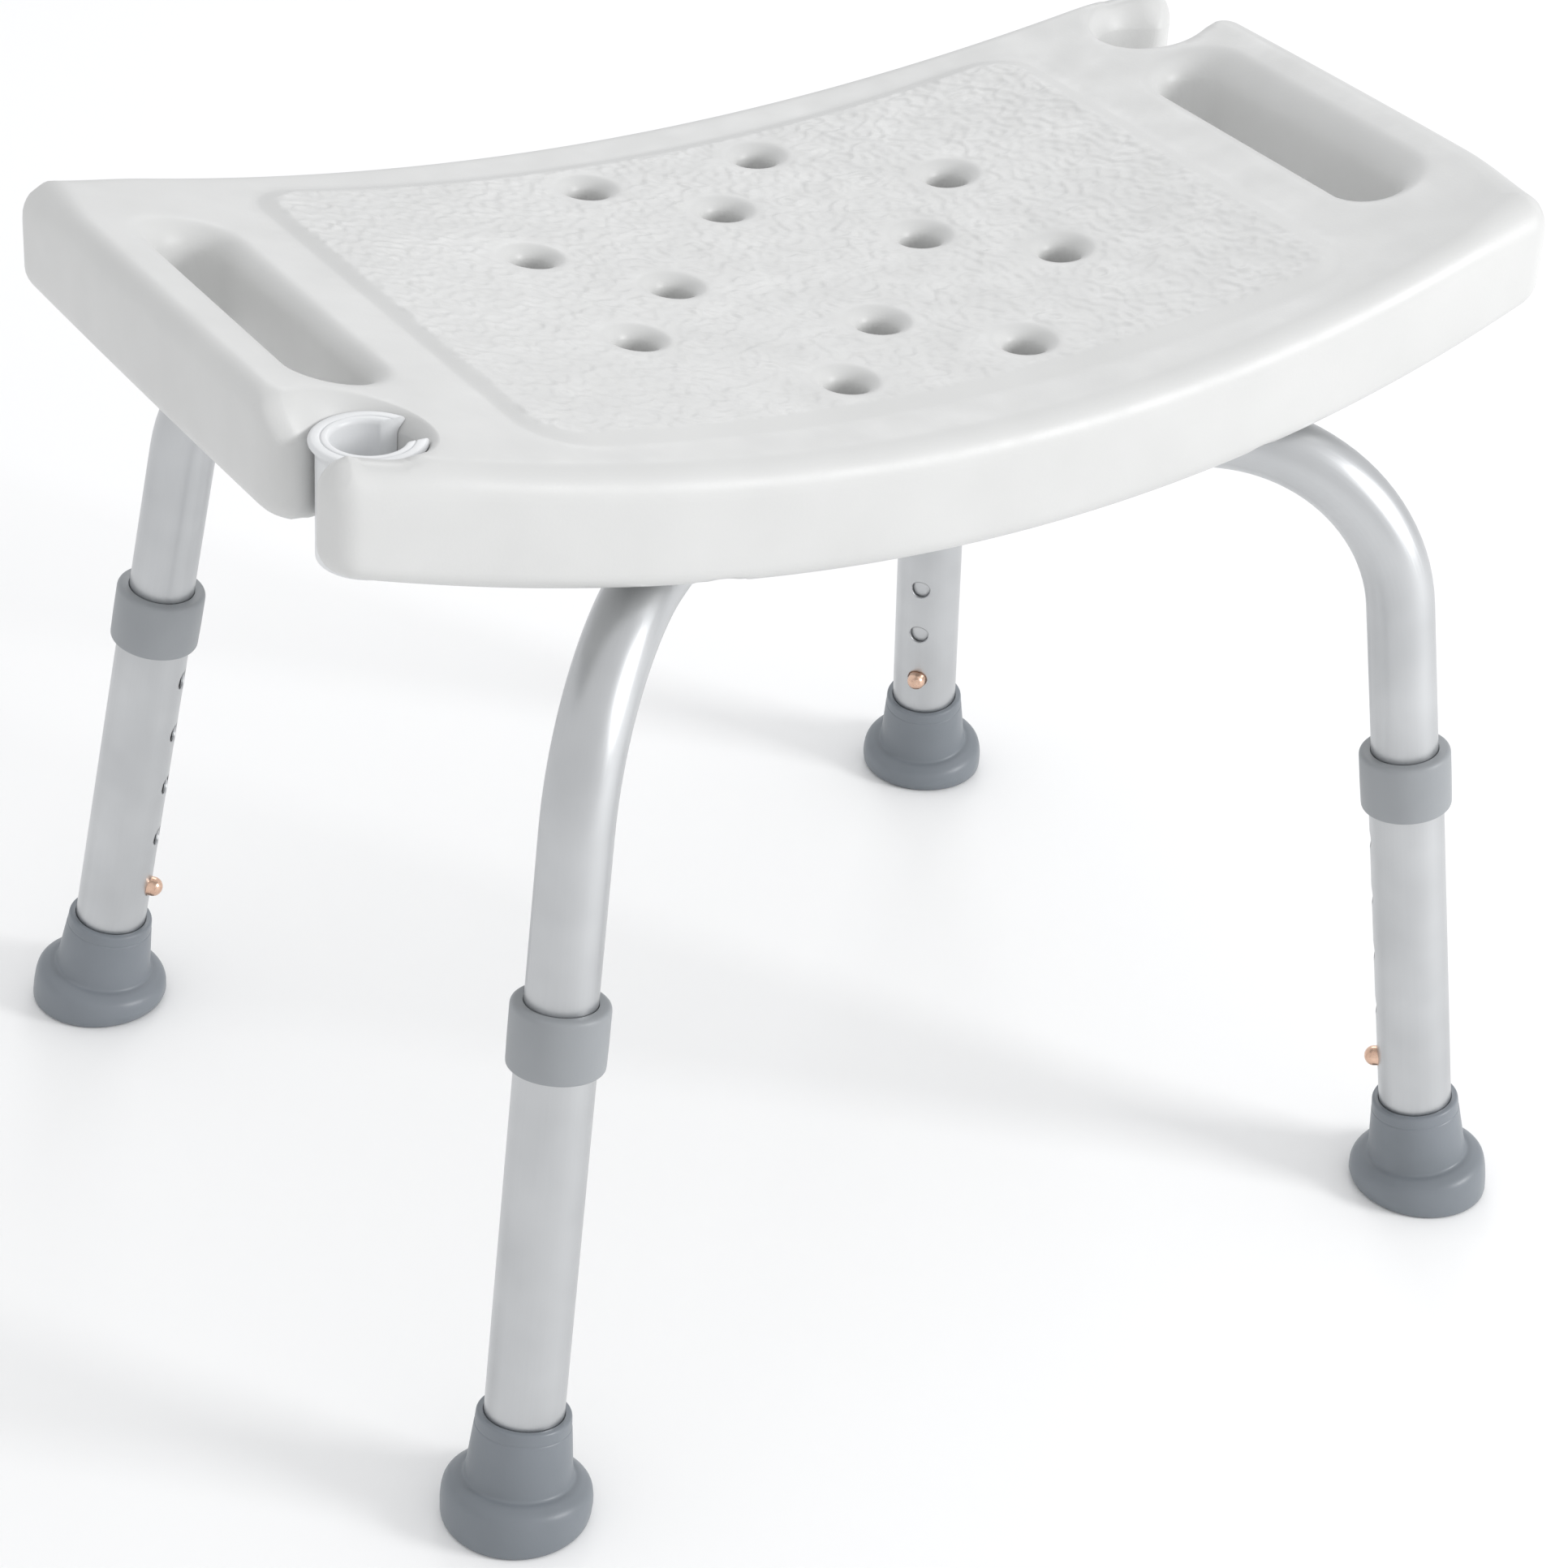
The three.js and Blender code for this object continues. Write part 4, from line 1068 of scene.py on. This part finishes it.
# ---- Stage, light and camera ----
# The floor and the lights are in metres. The camera is in millimetres and degrees.
FLOOR_HALF_SIZE = 30.0
LIGHT_AIM = (0, 0, 0.25)
CAMERA = {"yaw": 33.96, "pitch": 31.51, "roll": 3.81, "lens": 92.04, "sensor": 36,
          "distance": 1466.7, "aim": (-43.6, -77.8, 200)}


def build_floor():
    mesh = bpy.data.meshes.new("floor")
    size = FLOOR_HALF_SIZE
    corners = [(-size, -size, 0), (size, -size, 0), (size, size, 0), (-size, size, 0)]
    mesh.from_pydata(corners, [], [(0, 1, 2, 3)])
    floor = bpy.data.objects.new("floor", mesh)
    bpy.context.scene.collection.objects.link(floor)
    material, shader = principled("floor_paint", (0.9, 0.9, 0.9), 0.7)
    vary_color(material, shader, noise(material, 1.5, 2), (0.95, 0.95, 0.95), (0.965, 0.965, 0.965))
    mesh.materials.append(material)


def area_light(name, location, size, watts):
    light = bpy.data.lights.new(name, "AREA")
    light.shape = "RECTANGLE"
    light.size, light.size_y = size
    light.energy = watts
    lamp = bpy.data.objects.new(name, light)
    lamp.location = location
    lamp.rotation_euler = (Vector(LIGHT_AIM) - Vector(location)).to_track_quat("-Z", "Y").to_euler()
    bpy.context.scene.collection.objects.link(lamp)


def light_studio():
    """A bright white surround, a key light from the front right that shapes the seat, and a weak one
    from the back."""
    world = bpy.data.worlds.new("studio")
    world.use_nodes = True
    world.node_tree.nodes["Background"].inputs["Color"].default_value = (0.985, 0.99, 1, 1)
    world.node_tree.nodes["Background"].inputs["Strength"].default_value = 0.88
    bpy.context.scene.world = world
    bpy.context.scene.view_settings.view_transform = "Standard"
    area_light("key", location=(1.7, -2.0, 1.3), size=(0.8, 0.8), watts=37)
    area_light("back", location=(1.2, 1.8, 1.6), size=(0.8, 0.6), watts=5)


def place_camera():
    """The camera, solved from the stool's own proportions."""
    yaw, pitch, roll = (math.radians(CAMERA[key]) for key in ("yaw", "pitch", "roll"))
    forward = Vector((math.sin(yaw) * math.cos(pitch), math.cos(yaw) * math.cos(pitch), -math.sin(pitch)))
    level = Vector((math.cos(yaw), -math.sin(yaw), 0))
    up = level.cross(forward)
    right = level * math.cos(roll) + up * math.sin(roll)
    up = up * math.cos(roll) - level * math.sin(roll)
    data = bpy.data.cameras.new("camera")
    data.sensor_width = CAMERA["sensor"]
    data.lens = CAMERA["lens"]
    camera = bpy.data.objects.new("camera", data)
    turn = Matrix((right, up, -forward)).transposed().to_4x4()
    place = Vector(CAMERA["aim"]) - forward * CAMERA["distance"]
    camera.matrix_world = Matrix.Translation(place * MM) @ turn
    bpy.context.scene.collection.objects.link(camera)
    bpy.context.scene.camera = camera


build_floor()
light_studio()
place_camera()
